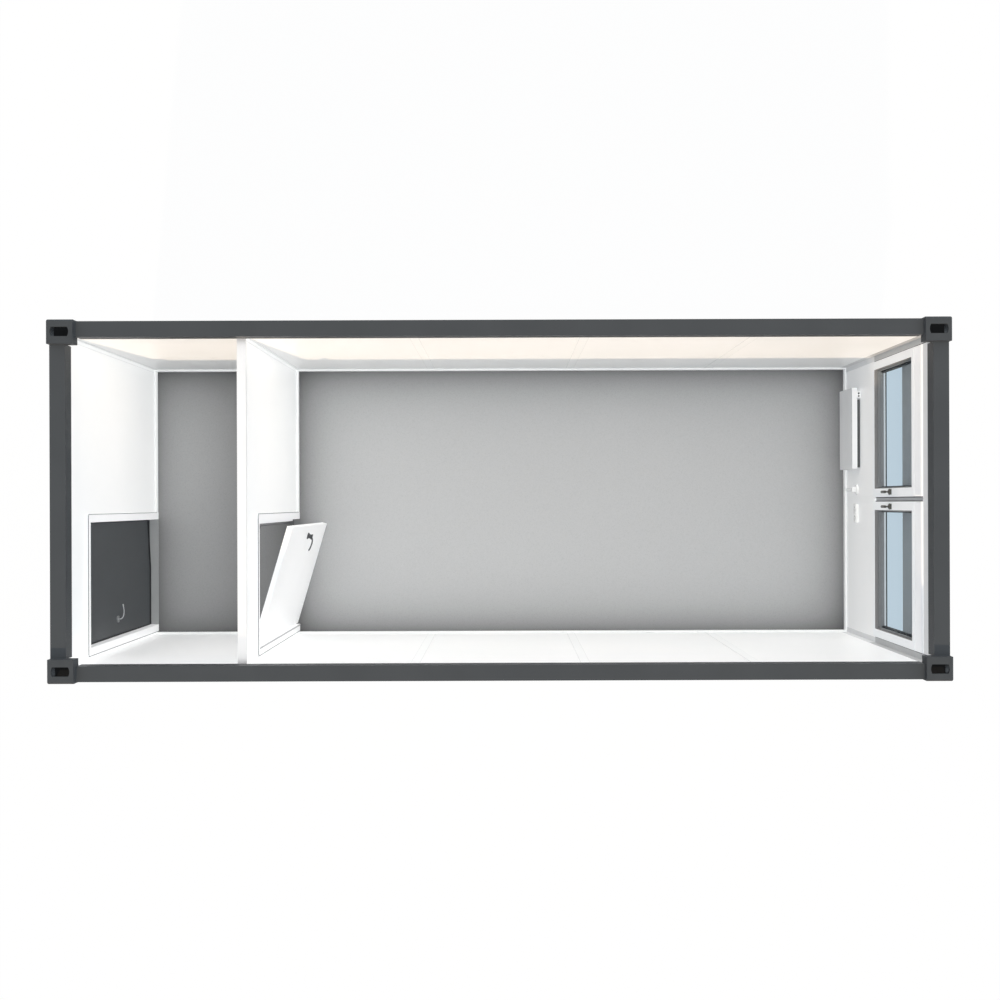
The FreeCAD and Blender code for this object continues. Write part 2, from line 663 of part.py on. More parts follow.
def hinges(name, front):
    """Frame halves, each a knuckle with its pin and flag, and leaf halves, a bored knuckle and plate."""
    frame_halves = []
    leaf_halves = []
    for word, level in HINGES:
        upper = f"({level} + knuckle_tall + knuckle_gap)"
        knuckle = rod(f"{name}_knuckle_{word}", "hinge_radius", "knuckle_tall", z=level)
        pin = rod(f"{name}_pin_{word}", "pin_radius", "2 * knuckle_tall + knuckle_gap", z=level)
        flag = box(f"{name}_flag_{word}", f"{front} - hinge_plate", front, f"-{RUN_GAP}",
                   "-hinge_radius / 4", level, f"{level} + knuckle_tall")
        frame_halves.append(fuse(f"{name}_frame_half_{word}", [knuckle, pin, flag]))
        turning = rod(f"{name}_turning_{word}", "hinge_radius", "knuckle_tall", z=upper)
        plate = box(f"{name}_plate_{word}", "0", "hinge_plate", "pin_radius + pin_gap", "hinge_plate_wide",
                    upper, f"{upper} + knuckle_tall")
        blank = fuse(f"{name}_leaf_blank_{word}", [turning, plate])
        bore = rod(f"{name}_pin_bore_{word}", "pin_radius + pin_gap", "knuckle_tall + 2", z=f"{upper} - 1")
        leaf_halves.append(cut(f"{name}_leaf_half_{word}", blank, [bore]))
    return frame_halves, leaf_halves


def ring(name, radius, bore, x, y, thick):
    """A flat ring on a face of the leaf, round the spindle."""
    disc = rod(name + "_disc", radius, thick, x, y, "floor_level + lever_level", (1, 0, 0))
    hole = rod(name + "_hole", bore, f"{thick} + 2", f"{x} - 1", y, "floor_level + lever_level", (1, 0, 0))
    return cut(name, disc, [hole])


def rounded_path(points, radius):
    """A wire through the points with its one corner rounded."""
    start, corner, end = points
    back = (start - corner).normalize()
    ahead = (end - corner).normalize()
    half = back.getAngle(ahead) / 2
    reach = radius / math.tan(half)
    first = corner + back * reach
    last = corner + ahead * reach
    inward = (back + ahead).normalize()
    middle = corner + inward * (radius / math.sin(half) - radius)
    return Part.Wire([Part.LineSegment(start, first).toShape(), Part.Arc(first, middle, last).toShape(),
                      Part.LineSegment(last, end).toShape()])


def lever(name, sides, lever_y):
    """A bent round bar for each side of the leaf, joined by the spindle."""
    out, tip, long = number("lever_out"), number("lever_tip_out"), number("lever_long")
    radius, thick = number("lever_radius"), number("leaf_thick")
    level = number("floor_level + lever_level")
    y = number(lever_y)
    shape = Part.makeCylinder(number("spindle_radius"), thick, FreeCAD.Vector(-thick, y, level),
                              FreeCAD.Vector(1, 0, 0))
    for side in sides:
        face = 0 if side > 0 else -thick
        gap = number("lever_gap") * side
        points = [FreeCAD.Vector(face + gap, y, level), FreeCAD.Vector(face + side * out, y, level),
                  FreeCAD.Vector(face + side * tip, y - long, level)]
        path = rounded_path(points, number("lever_bend"))
        start = Part.Wire(Part.makeCircle(radius, points[0], FreeCAD.Vector(side, 0, 0)))
        neck = Part.makeCylinder(number("spindle_radius"), 2 * abs(gap), FreeCAD.Vector(face, y, level),
                                 FreeCAD.Vector(side, 0, 0))
        shape = shape.fuse([path.makePipeShell([start], True, False), neck])
    item = doc.addObject("Part::Feature", name)
    item.Shape = shape.removeSplitter()
    return item


def make_outer_door():
    turn, x, y = 180, OUTER_HINGE_X, OUTER_HINGE_Y
    front = "(-door_frame_step)"
    back = f"(-({STEEL_X} - {ROOM_X}) - door_frame_proud)"
    south = "(leaf_lap - door_frame_face)"
    north = f"({OUTER_LEAF} - leaf_lap + door_frame_face)"
    lever_y = f"({OUTER_LEAF} - outer_lever_back)"
    frame = door_frame("outer_door_frame", front, back, south, north, OUTER_LEAF, OUTER_LEAF_TOP)
    threshold = box("outer_threshold_made", back, front, "leaf_lap", f"{OUTER_LEAF} - leaf_lap",
                    "floor_level", "floor_level + threshold_tall")
    leaf = door_leaf("outer_door_leaf", OUTER_LEAF, OUTER_LEAF_FOOT, OUTER_LEAF_TOP, lever_y)
    frame_halves, leaf_halves = hinges("outer_hinge", front)
    rose = ring("outer_rose_inside", "rose_radius", "lever_radius + lever_gap", "-leaf_thick - rose_thick",
                lever_y, "rose_thick")
    cover = rod("outer_cover", "rose_radius", "cover_thick", "0", lever_y, "floor_level + lever_level",
                (1, 0, 0))
    handle = lever("outer_lever_made", (-1,), lever_y)
    return [stand("outer_door_frame", frame, x, y, turn),
            stand("outer_door_threshold", threshold, x, y, turn),
            stand("outer_door_leaf", leaf, x, y, turn),
            stand("outer_frame_hinges", frame_halves, x, y, turn),
            stand("outer_door_leaf_hinges", leaf_halves, x, y, turn),
            stand("outer_door_roses", [rose, cover], x, y, turn),
            stand("outer_door_lever", handle, x, y, turn)]


def make_inner_door():
    x, y, turn = INNER_HINGE_X, INNER_HINGE_Y, -number("ajar_degrees")
    front = "door_frame_proud"
    back = "(-partition_thick - door_frame_proud)"
    south = f"(-{RUN_GAP} - door_frame_face)"
    north = f"({INNER_LEAF} + door_gap + door_frame_face)"
    lever_y = f"({INNER_LEAF} - inner_lever_back)"
    frame = door_frame("inner_door_frame", front, back, south, north, INNER_LEAF, INNER_LEAF_TOP)
    leaf = door_leaf("inner_door_leaf", INNER_LEAF, INNER_LEAF_FOOT, INNER_LEAF_TOP, lever_y)
    frame_halves, leaf_halves = hinges("inner_hinge", "(hinge_plate / 2)")
    roses = [ring("inner_rose_east", "rose_radius", "lever_radius + lever_gap", "0", lever_y, "rose_thick"),
             ring("inner_rose_west", "rose_radius", "lever_radius + lever_gap", "-leaf_thick - rose_thick",
                  lever_y, "rose_thick")]
    handle = lever("inner_lever_made", (-1, 1), lever_y)
    return [stand("inner_door_frame", frame, x, y, 0),
            stand("inner_frame_hinges", frame_halves, x, y, 0),
            stand("inner_door_leaf", leaf, x, y, turn),
            stand("inner_door_leaf_hinges", leaf_halves, x, y, turn),
            stand("inner_door_roses", roses, x, y, turn),
            stand("inner_door_lever", handle, x, y, turn)]


# Windows: made for the north window, and mirrored for the south one

def pair(name, shapes):
    """The north window's solids and their mirror images in the south window."""
    mirrored = [mirror(f"{shape.Name}_south", shape, (0, 1, 0)) for shape in shapes]
    return group(name, shapes + mirrored)


def window_ring(name, x0, x1, inset, face):
    """A rectangular ring inside the window's outer edge."""
    y0, y1 = f"({WINDOW_IN} + {inset})", f"({WINDOW_OUT} - {inset})"
    z0, z1 = f"({WINDOW_FOOT} + {inset})", f"({WINDOW_TOP} - {inset})"
    outside = box(name + "_outside", x0, x1, y0, y1, z0, z1)
    inside = box(name + "_inside", f"{x0} - 1", f"{x1} + 1", f"{y0} + {face}", f"{y1} - {face}",
                 f"{z0} + {face}", f"{z1} - {face}")
    return cut(name, outside, [inside])


def make_windows():
    front = f"({ROOM_X} - window_proud)"
    sash_front = f"({ROOM_X} - sash_proud)"
    sash_back = f"({sash_front} + sash_deep)"
    rim = "window_rim"
    ring_all = window_ring("window_frame_ring", front, SKIN_X, "0", f"({rim} + window_stop)")
    rebate = box("window_rebate", f"{front} - 1", f"{sash_back} + sash_seat", f"{WINDOW_IN} + {rim}",
                 f"{WINDOW_OUT} - {rim}", f"{WINDOW_FOOT} + {rim}", f"{WINDOW_TOP} - {rim}")
    frame = cut("window_frame_made", ring_all, [rebate])
    inset = f"({rim} + sash_seat)"
    sash = window_ring("window_sash_made", sash_front, sash_back, inset, "sash_face")
    glass_in = f"({inset} + sash_face + sash_seat)"
    glass_x = f"({sash_front} + glass_set_back)"
    glass = box("window_glass_made", glass_x, f"{glass_x} + glass_thick", f"{WINDOW_IN} + {glass_in}",
                f"{WINDOW_OUT} - {glass_in}", f"{WINDOW_FOOT} + {glass_in}", f"{WINDOW_TOP} - {glass_in}")
    handle_y = f"({WINDOW_IN} + {inset} + sash_face / 2)"
    handle_z = f"(({WINDOW_FOOT} + {WINDOW_TOP}) / 2 - handle_below)"
    base_x = f"({sash_front} - handle_base)"
    neck_x = f"({base_x} - handle_neck)"
    base = box("handle_base", base_x, sash_front, f"{handle_y} - handle_wide / 2",
               f"{handle_y} + handle_wide / 2", f"{handle_z} - handle_tall / 2",
               f"{handle_z} + handle_tall / 2")
    neck = rod("handle_neck", "handle_neck_radius", "handle_neck", neck_x, handle_y, handle_z, (1, 0, 0))
    grip = box("handle_grip", f"{neck_x} - handle_thick", neck_x, f"{handle_y} - handle_thick",
               f"{handle_y} + handle_thick", f"{handle_z} + handle_thick - handle_long",
               f"{handle_z} + handle_thick")
    handle = fuse("window_handle_made", [base, neck, grip])
    return [pair("window_frames", [frame]), pair("window_sashes", [sash]), pair("window_panes", [glass]),
            pair("window_handles", [handle])]


def make_shutters():
    back = SKIN_X
    guide_back = f"({SKIN_X} + guide_deep)"
    curtain_x = f"({SKIN_X} + (guide_deep - curtain_thick) / 2)"
    block = box("shutter_box_block", f"{ROOM_X} - shutter_box_proud", guide_back, WINDOW_IN, WINDOW_OUT,
                WINDOW_TOP, BOX_TOP)
    doc.recompute()
    shell = doc.addObject("Part::Fillet", "shutter_box_made")
    shell.Base = block
    front_top = [index for index, edge in enumerate(block.Shape.Edges, start=1)
                 if edge.CenterOfMass.x < number(f"{ROOM_X} - shutter_box_proud") + NEAR
                 and abs(edge.CenterOfMass.z - number(WINDOW_TOP)) > NEAR
                 and edge.Length > number(WINDOW_IN)]
    radius = number("shutter_box_round")
    shell.Edges = [(index, radius, radius) for index in front_top]
    foot = f"({WINDOW_FOOT} + sill_thick)"
    guides = []
    for word, y0, y1, groove0, groove1 in (
            ("inner", WINDOW_IN, f"{WINDOW_IN} + guide_wide", f"{WINDOW_IN} + guide_wide - guide_groove",
             f"{WINDOW_IN} + guide_wide + 1"),
            ("outer", f"{WINDOW_OUT} - guide_wide", WINDOW_OUT, f"{WINDOW_OUT} - guide_wide - 1",
             f"{WINDOW_OUT} - guide_wide + guide_groove")):
        bar = box(f"guide_bar_{word}", back, guide_back, y0, y1, foot, WINDOW_TOP)
        groove = box(f"guide_groove_{word}", f"{curtain_x} - curtain_gap",
                     f"{curtain_x} + curtain_thick + curtain_gap", groove0, groove1, f"{foot} - 1",
                     f"{WINDOW_TOP} + 1")
        guides.append(cut(f"guide_{word}", bar, [groove]))
    reach = "(guide_wide - guide_groove + curtain_gap)"
    curtain = box("curtain_made", curtain_x, f"{curtain_x} + curtain_thick", f"{WINDOW_IN} + {reach}",
                  f"{WINDOW_OUT} - {reach}", f"{WINDOW_TOP} - curtain_tall", WINDOW_TOP)
    sill = box("sill_made", back, f"{back} + sill_deep", WINDOW_IN, WINDOW_OUT, WINDOW_FOOT, foot)
    return [pair("shutter_boxes", [shell]), pair("shutter_curtains", [curtain]),
            pair("shutter_guides", guides), pair("window_sills", [sill])]


# Heater and sockets

def make_fittings():
    back = f"({ROOM_X} - heater_stand)"
    front = f"({back} - heater_thick)"
    foot = "(floor_level + heater_level)"
    top = f"({foot} + heater_tall)"
    north = f"({ROOM_Y} - heater_side)"
    south = f"({north} - heater_wide)"
    block = box("heater_block", front, back, south, north, foot, top)
    doc.recompute()
    body = doc.addObject("Part::Fillet", "heater_casing")
    body.Base = block
    radius = number("heater_round")
    body.Edges = [(index, radius, radius) for index, edge in enumerate(block.Shape.Edges, start=1)
                  if edge.CenterOfMass.x < number(front) + NEAR]
    bracket_z = (f"{foot} + bracket_level", f"{top} - bracket_level")
    brackets = [box("bracket_south", back, ROOM_X, f"{south} + bracket_side",
                    f"{south} + bracket_side + bracket_wide", *bracket_z),
                box("bracket_north", back, ROOM_X, f"{north} - bracket_side - bracket_wide",
                    f"{north} - bracket_side", *bracket_z)]
    knob = rod("heater_knob", "knob_radius", "knob_tall", f"{back} - heater_thick / 2",
               f"{north} - knob_side", top)
    level = "(floor_level + socket_level)"
    sockets = []
    for word in ("single", "double"):
        middle = f"({south} - {word}_socket_gap)"
        half = f"{word}_socket_wide / 2"
        sockets.append(box(f"socket_{word}", f"{ROOM_X} - {word}_socket_thick", ROOM_X, f"{middle} - {half}",
                           f"{middle} + {half}", level, f"{level} + socket_tall"))
    return [body, group("heater_brackets_and_knob", brackets + [knob]), group("wall_sockets", sockets)]


MAKERS = (make_castings, make_posts, make_rails, make_floor, make_long_walls, make_west_wall,
          make_east_wall, make_partition, make_trim, make_outer_door, make_inner_door, make_windows,
          make_shutters, make_fittings)


def build():
    pieces = []
    for maker in MAKERS:
        pieces.extend(maker())
    doc.recompute()
    for item in doc.Objects:
        if "Invalid" in item.State or "Error" in item.State:
            raise RuntimeError(f"{item.Name} is {item.State}")
    for piece in pieces:
        if piece.Shape.isNull() or not piece.Shape.isValid():
            raise RuntimeError(f"{piece.Label} has no valid shape")
    os.makedirs("parts", exist_ok=True)
    for piece in pieces:
        piece.Shape.exportStep(f"parts/{piece.Label}.step")
        box_now = piece.Shape.BoundBox
        print(f"{piece.Label}: {len(piece.Shape.Solids)} solids, {piece.Shape.Volume / 1e6:.2f} litres, "
              f"{box_now.XMin:.0f} {box_now.YMin:.0f} {box_now.ZMin:.0f} to "
              f"{box_now.XMax:.0f} {box_now.YMax:.0f} {box_now.ZMax:.0f}")


build()
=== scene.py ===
# %% [markdown]
# # An office container without its roof
# The real object is a steel frame of freight container size with insulated white walls, a vinyl floor,
# two doors and two shuttered windows. Its solids come ready made, in metres, so this lesson only dresses
# them: it gives each surface its finish, adds the small parts that the solids leave out, and then sets
# the camera straight above the open top.

# %% Load the solids
import math

import bmesh
import bpy
from mathutils import Matrix, Vector


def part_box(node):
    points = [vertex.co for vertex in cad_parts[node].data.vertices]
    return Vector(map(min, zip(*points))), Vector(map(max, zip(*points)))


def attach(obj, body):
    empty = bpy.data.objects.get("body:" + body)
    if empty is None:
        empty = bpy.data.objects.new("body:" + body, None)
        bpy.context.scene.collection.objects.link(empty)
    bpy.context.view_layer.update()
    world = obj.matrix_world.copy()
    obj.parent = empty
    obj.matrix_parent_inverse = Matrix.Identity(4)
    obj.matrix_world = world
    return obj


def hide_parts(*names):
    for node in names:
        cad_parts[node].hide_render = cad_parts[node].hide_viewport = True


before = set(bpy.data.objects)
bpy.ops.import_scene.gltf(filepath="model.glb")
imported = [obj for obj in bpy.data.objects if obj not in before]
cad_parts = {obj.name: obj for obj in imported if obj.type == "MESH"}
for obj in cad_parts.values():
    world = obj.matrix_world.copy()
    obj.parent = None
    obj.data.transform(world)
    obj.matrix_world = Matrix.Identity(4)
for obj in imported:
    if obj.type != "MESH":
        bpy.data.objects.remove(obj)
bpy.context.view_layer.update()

# %% [markdown]
# ## Camera
# A camera that looks straight down makes the four walls lean outwards like an opened box. How fast they
# lean depends only on its height, and the lens then fits the container into the picture. The container
# stands a fifth of a degree askew in the picture, so the camera is turned by that much.

# %% Camera above the open top
MM = 0.001
camera_data = bpy.data.cameras.new("overhead_camera")
camera_data.sensor_width = 36.0
camera_data.lens = 52.13
camera_data.shift_x = -0.0053
camera_data.shift_y = 0.00305
camera = bpy.data.objects.new("overhead_camera", camera_data)
camera.location = (0.038, -0.019, 12.47)
camera.rotation_euler = (0.0, 0.0, -0.00344)
bpy.context.scene.collection.objects.link(camera)
bpy.context.scene.camera = camera
print("camera height", camera.location.z, "m, lens", camera_data.lens, "mm")

# %% [markdown]
# ## Light
# Light comes from a bright sky and a low warm sun beyond the south wall. The warm sun clears the south
# rail and falls on the upper part of the north wall. A level fill light without shadows whitens the walls
# that look north and east, and a weaker one does so for those that look west. The background is white only
# to the eye of the camera and to glass and metal, so it adds no light to the walls.

# %% Sky, sun and fill
def colour(code):
    """A hex colour as screens show it, turned into linear red, green, blue and alpha."""
    parts = [int(code[at:at + 2], 16) / 255 for at in (1, 3, 5)]
    return [part / 12.92 if part <= 0.04045 else ((part + 0.055) / 1.055) ** 2.4 for part in parts] + [1.0]


def add(tree, kind, inputs=None, **settings):
    """Add a node. Settings are its properties; inputs are values or sockets, by name or number."""
    node = tree.nodes.new(kind)
    for name, value in settings.items():
        setattr(node, name, value)
    for key, value in (inputs or {}).items():
        if isinstance(value, bpy.types.NodeSocket):
            tree.links.new(value, node.inputs[key])
        else:
            node.inputs[key].default_value = value
    return node


def maths(tree, operation, *values):
    """The result of one step of arithmetic on values or sockets."""
    return add(tree, "ShaderNodeMath", dict(enumerate(values)), operation=operation).outputs[0]


def backdrop_colour(tree):
    """White in the open, and pale sky blue where the ray has come through a window pane."""
    path = add(tree, "ShaderNodeLightPath").outputs
    passed = maths(tree, "MULTIPLY", path["Transparent Depth"], path["Is Camera Ray"])
    return add(tree, "ShaderNodeMix", {0: passed, 6: (1, 1, 1, 1), 7: colour("#c8d6e0")}, data_type="RGBA",
               clamp_factor=True).outputs[2]


def seen_directly(tree):
    """One where a camera, glossy or transmission ray looks, and nought for light that bounces."""
    path = add(tree, "ShaderNodeLightPath").outputs
    either = maths(tree, "MAXIMUM", path["Is Camera Ray"], path["Is Glossy Ray"])
    return maths(tree, "MAXIMUM", either, path["Is Transmission Ray"])


SKY_STRENGTH = 0.64
sky = bpy.data.worlds.new("white_sky")
sky.use_nodes = True
sky.node_tree.nodes.clear()
glow = add(sky.node_tree, "ShaderNodeBackground", {"Color": colour("#f4f8ff"), "Strength": SKY_STRENGTH})
backdrop = add(sky.node_tree, "ShaderNodeBackground",
               {"Color": backdrop_colour(sky.node_tree), "Strength": 1.0})
either_sky = add(sky.node_tree, "ShaderNodeMixShader",
                 {0: seen_directly(sky.node_tree), 1: glow.outputs[0], 2: backdrop.outputs[0]})
add(sky.node_tree, "ShaderNodeOutputWorld", {"Surface": either_sky.outputs[0]})
bpy.context.scene.world = sky
bpy.context.scene.view_settings.view_transform = "Standard"


def sun(name, towards, strength, width, code, shadows=True):
    """A sun whose light travels towards a direction; its width in degrees softens the shadows."""
    data = bpy.data.lights.new(name, "SUN")
    data.use_shadow = shadows
    data.energy = strength
    data.angle = math.radians(width)
    data.color = colour(code)[:3]
    lamp = bpy.data.objects.new(name, data)
    lamp.rotation_euler = Vector(towards).to_track_quat("-Z", "Y").to_euler()
    bpy.context.scene.collection.objects.link(lamp)
    return lamp


sun("low_south_sun", (0.093, 1.0, -0.775), 2.1, 1.0, "#ffe6c9")
sun("level_fill", (-1.03, -1.06, -0.66), 2.45, 20.0, "#fcfdff", shadows=False)
sun("west_fill", (1.0, 0.0, -0.1), 0.46, 20.0, "#eff4ff", shadows=False)

# %% [markdown]
# The container stands on a plain white floor. To the camera the floor is nearly all glow, with a little
# of its lit colour mixed in, so that it stays white and still takes a pale shadow.

# %% Floor that it stands on
GLOW_SHARE = 0.95
ground_material = bpy.data.materials.new("white_studio_floor")
ground_material.use_nodes = True
ground_tree = ground_material.node_tree
ground_tree.nodes.clear()
matt = add(ground_tree, "ShaderNodeBsdfDiffuse", {"Color": colour("#e6e8ea")})
bright = add(ground_tree, "ShaderNodeEmission", {"Color": backdrop_colour(ground_tree), "Strength": 1.0})
part_glow = maths(ground_tree, "MULTIPLY", seen_directly(ground_tree), GLOW_SHARE)
both = add(ground_tree, "ShaderNodeMixShader", {0: part_glow, 1: matt.outputs[0], 2: bright.outputs[0]})
add(ground_tree, "ShaderNodeOutputMaterial", {"Surface": both.outputs[0]})
ground_mesh = bpy.data.meshes.new("studio_floor")
REACH = 40.0
UNDER = -0.5 * MM
ground_mesh.from_pydata([(-REACH, -REACH, UNDER), (REACH, -REACH, UNDER), (REACH, REACH, UNDER),
                         (-REACH, REACH, UNDER)], [], [(0, 1, 2, 3)])
ground_mesh.materials.append(ground_material)
ground = bpy.data.objects.new("studio_floor", ground_mesh)
bpy.context.scene.collection.objects.link(ground)
print("floor reaches", REACH, "m each way")

# %% [markdown]
# ## Finishes
# Nearly every surface here is a coating on something: paint on steel, powder on a door, film on vinyl.
# Such a surface is one colour that drifts a little, with a fine grain that catches the light. One
# function makes them all from the coat's colour, its grain in millimetres and its gloss.

# %% Coated surfaces
def start_material(name):
    """An empty material, its tree and the place on the object, in metres."""
    material = bpy.data.materials.new(name)
    material.use_nodes = True
    material.node_tree.nodes.clear()
    return material, material.node_tree, add(material.node_tree, "ShaderNodeTexCoord").outputs["Object"]


def surfaced(material, tree, shader):
    """The material with its last node, which shows the shader."""
    add(tree, "ShaderNodeOutputMaterial", {"Surface": shader.outputs[0]})
    return material


def upward(tree):
    """How far a face looks up: one for a level face and nought for an upright one."""
    normal = add(tree, "ShaderNodeNewGeometry").outputs["Normal"]
    return add(tree, "ShaderNodeSeparateXYZ", {0: normal}).outputs["Z"]


def noise(tree, place, size_mm, detail=2.0, stretch=None):
    """A soft random pattern whose patches are about this many millimetres across."""
    if stretch:
        place = add(tree, "ShaderNodeMapping", {"Vector": place, "Scale": stretch}).outputs[0]
    return add(tree, "ShaderNodeTexNoise", {"Vector": place, "Scale": 1 / (size_mm * MM), "Detail": detail,
                                            "Roughness": 0.55}).outputs["Fac"]


def between(tree, value, low, high, start=0.3, end=0.7):
    """The value's range from start to end stretched over low to high."""
    return add(tree, "ShaderNodeMapRange", {"Value": value, "From Min": start, "From Max": end, "To Min": low,
                                            "To Max": high}).outputs[0]


def blend_colours(tree, factor, first, second):
    return add(tree, "ShaderNodeMix", {0: factor, 6: first, 7: second}, data_type="RGBA").outputs[2]


def coated(name, coat, drift, gloss, grain_mm, depth_mm, cloud_mm=400, metallic=0.0, stretch=None,
           upright=None, **fixed):
    """A coat whose colour drifts in clouds and whose grain varies its gloss and lifts its surface.

    Where a colour is given for upright faces, those faces take it as painted shade, and faces that look up
    keep the coat.
    """
    material, tree, place = start_material(name)
    base = blend_colours(tree, between(tree, noise(tree, place, cloud_mm, 4.0), 0.0, 1.0), colour(coat),
                         colour(drift))
    if upright:
        level = between(tree, upward(tree), 0.0, 1.0, 0.2, 0.7)
        base = blend_colours(tree, level, colour(upright), base)
    grain = noise(tree, place, grain_mm, 3.0, stretch)
    bump = add(tree, "ShaderNodeBump", {"Height": grain, "Distance": depth_mm * MM, "Strength": 1.0})
    shader = add(tree, "ShaderNodeBsdfPrincipled", {
        "Base Color": base, "Roughness": between(tree, grain, gloss - 0.05, gloss + 0.05),
        "Metallic": metallic, "Normal": bump.outputs[0], **fixed})
    return surfaced(material, tree, shader)


# Satin polyester paint, sprayed on folded steel: an orange peel of about 9 mm, drawn three times too wide.
# Its upright faces take a darker colour, which is painted shade.
frame_paint = coated("satin_paint_on_folded_steel_with_painted_side_shade", "#3f4346", "#3b3f42", 0.5, 9, 0.12,
                     upright="#2f3235", **{"Specular IOR Level": 0.25})
# Cast steel under the same paint keeps the rough skin of its sand mould.
# Its upright faces take a darker colour too, painted shade.
casting_paint = coated("paint_on_cast_steel_with_painted_side_shade", "#3f4346", "#3b3f42", 0.6, 5, 0.4, 90,
                       upright="#383b3e", **{"Specular IOR Level": 0.2})
# Extruded trim with a satin skin.
trim_white = coated("extruded_pvc_trim_satin_white", "#f4f5f4", "#f1f2f1", 0.45, 30, 0.05, 500)
# Window profiles shine more than the trim.
window_white = coated("extruded_pvc_window_profile_white", "#f3f5f6", "#f0f2f3", 0.45, 60, 0.01, 500)
# Cast zinc, rubber, rolled or extruded strip and the greys and blacks of painted shade follow the same
# way, each with its own grain.
# Powder coats have a tight, even orange peel of about 2 mm, drawn as 4 mm.
powder_white = coated("powder_coated_steel_white", "#f5f5f5", "#f2f2f2", 0.40, 4, 0.06, 600)
powder_anthracite = coated("powder_coated_steel_anthracite", "#3b3e40", "#373a3c", 0.45, 4, 0.08, 500,
                           **{"Specular IOR Level": 0.3})
# Painted shade: the heater's casing below its top takes this greyer coat.
heater_front_shade_grey = coated("white_powder_coat_with_painted_shade", "#d2d3d3", "#cecfcf", 0.5, 6, 0.02, 300)
powder_light_grey = coated("powder_coated_steel_light_grey", "#eeefef", "#edeeee", 0.5, 6, 0.02, 300)
shutter_white = coated("roll_formed_aluminium_white_lacquer", "#f8f9f9", "#f5f6f7", 0.5, 60, 0.01, 400)
socket_white = coated("moulded_urea_plastic_white", "#f2f2f0", "#efefed", 0.28, 12, 0.03, 60)
seal_black = coated("extruded_epdm_rubber_black", "#17181a", "#1d1e20", 0.75, 3, 0.15, 50)
# Near black painted shade for the floors of the casting cavities.
cavity_shade_black = coated("near_black_cavity_painted_shade", "#151617", "#191a1b", 0.8, 8, 0.1, 60,
                   **{"Specular IOR Level": 0.1})
olive_handle = coated("cast_zinc_painted_olive_grey", "#4c4c46", "#45453f", 0.38, 3, 0.05, 40)
dark_lever = coated("cast_zinc_painted_dark_grey", "#3c3e40", "#353739", 0.32, 3, 0.05, 40)
# Grey painted shade for the window rebates; the glass spacers take it as their own colour.
rebate_shade_and_spacer_grey = coated("rebate_painted_shade_and_spacer_grey", "#7b7a79", "#777675", 0.6, 30, 0.02, 300)
threshold_grey = coated("rolled_aluminium_threshold_dark_grey", "#9b9d9d", "#959797", 0.6, 20, 0.05, 200)
# Dark grey painted shadow lines round the door frames and under the sockets.
shadow_line_grey = coated("dark_grey_painted_shadow_line", "#6e7070", "#686a6a", 0.6, 20, 0.1, 100)
# A dark grey sheet of painted shade, behind the heater and in the gaps beside the window frames.
shade_sheet_grey = coated("dark_grey_painted_shade_sheet", "#4a4c4d", "#464849", 0.6, 6, 0.05, 100)
# Grey painted shade on the mullion cover, also the grey line on the inner door's jamb.
shade_and_jamb_line_grey = coated("mullion_painted_shade_and_jamb_line_grey", "#a3a4a5", "#9e9fa0", 0.5, 30, 0.02, 200)
# Pale grey: painted shade on the lower closers and over the shutter boxes, and the sealant and skirting joint
# lines.
pale_shade_and_sealant = coated("pale_grey_painted_shade_and_sealant", "#d9dada", "#d4d5d5", 0.5, 30, 0.02, 300)
# Grey painted shade on the closers beside the windows.
closer_shade_grey = coated("closer_grey_painted_shade", "#b4b5b5", "#afb0b0", 0.5, 30, 0.02, 300)
# Grey marks of painted shade: the heater's slots and the lines beside the cable duct.
shade_mark_grey = coated("mid_grey_painted_shade_mark", "#b4b6b6", "#aaacac", 0.6, 20, 0.1, 100)
# Pale grey painted shade for the rims of the socket wells.
socket_shade = coated("pale_grey_socket_painted_shade", "#b9bab9", "#b2b3b2", 0.35, 12, 0.03, 60)
slat_grey = coated("roll_formed_aluminium_grey_lacquer", "#969594", "#919090", 0.42, 14, 0.06, 300)
print("coats:", len(bpy.data.materials) - 1)

# %% [markdown]
# Bare metals differ from coats in that their colour is all reflection. Brushing leaves fine lines along
# one direction, galvanising leaves flat crystals a few centimetres across, and anodised aluminium stays
# nearly even.

# %% Bare metals
brushed_steel = coated("brushed_stainless_steel", "#c9cbcd", "#bfc1c3", 0.30, 2, 0.03, 80, 1.0, (1, 12, 12))
capping = coated("satin_aluminium_capping", "#fafafa", "#f7f7f7", 0.35, 30, 0.01, 400, 0.95)
anodised = coated("anodised_aluminium_sheet", "#d5d8da", "#cdd0d2", 0.38, 6, 0.03, 200, 1.0, (1, 8, 1))


def galvanised_sheet():
    """Zinc crystals: cells that differ in brightness and gloss, about 18 mm across."""
    material, tree, place = start_material("hot_dip_galvanised_sheet")
    cells = add(tree, "ShaderNodeTexVoronoi", {"Vector": place, "Scale": 1 / (18 * MM)})
    level = add(tree, "ShaderNodeSeparateColor", {0: cells.outputs["Color"]}).outputs[0]
    base = blend_colours(tree, level, colour("#a9aeb1"), colour("#c3c7c9"))
    shader = add(tree, "ShaderNodeBsdfPrincipled", {
        "Base Color": base, "Metallic": 1.0, "Roughness": between(tree, level, 0.35, 0.55, 0.0, 1.0)})
    return surfaced(material, tree, shader)


galvanised = galvanised_sheet()
print("metals:", brushed_steel.name, anodised.name, galvanised.name)
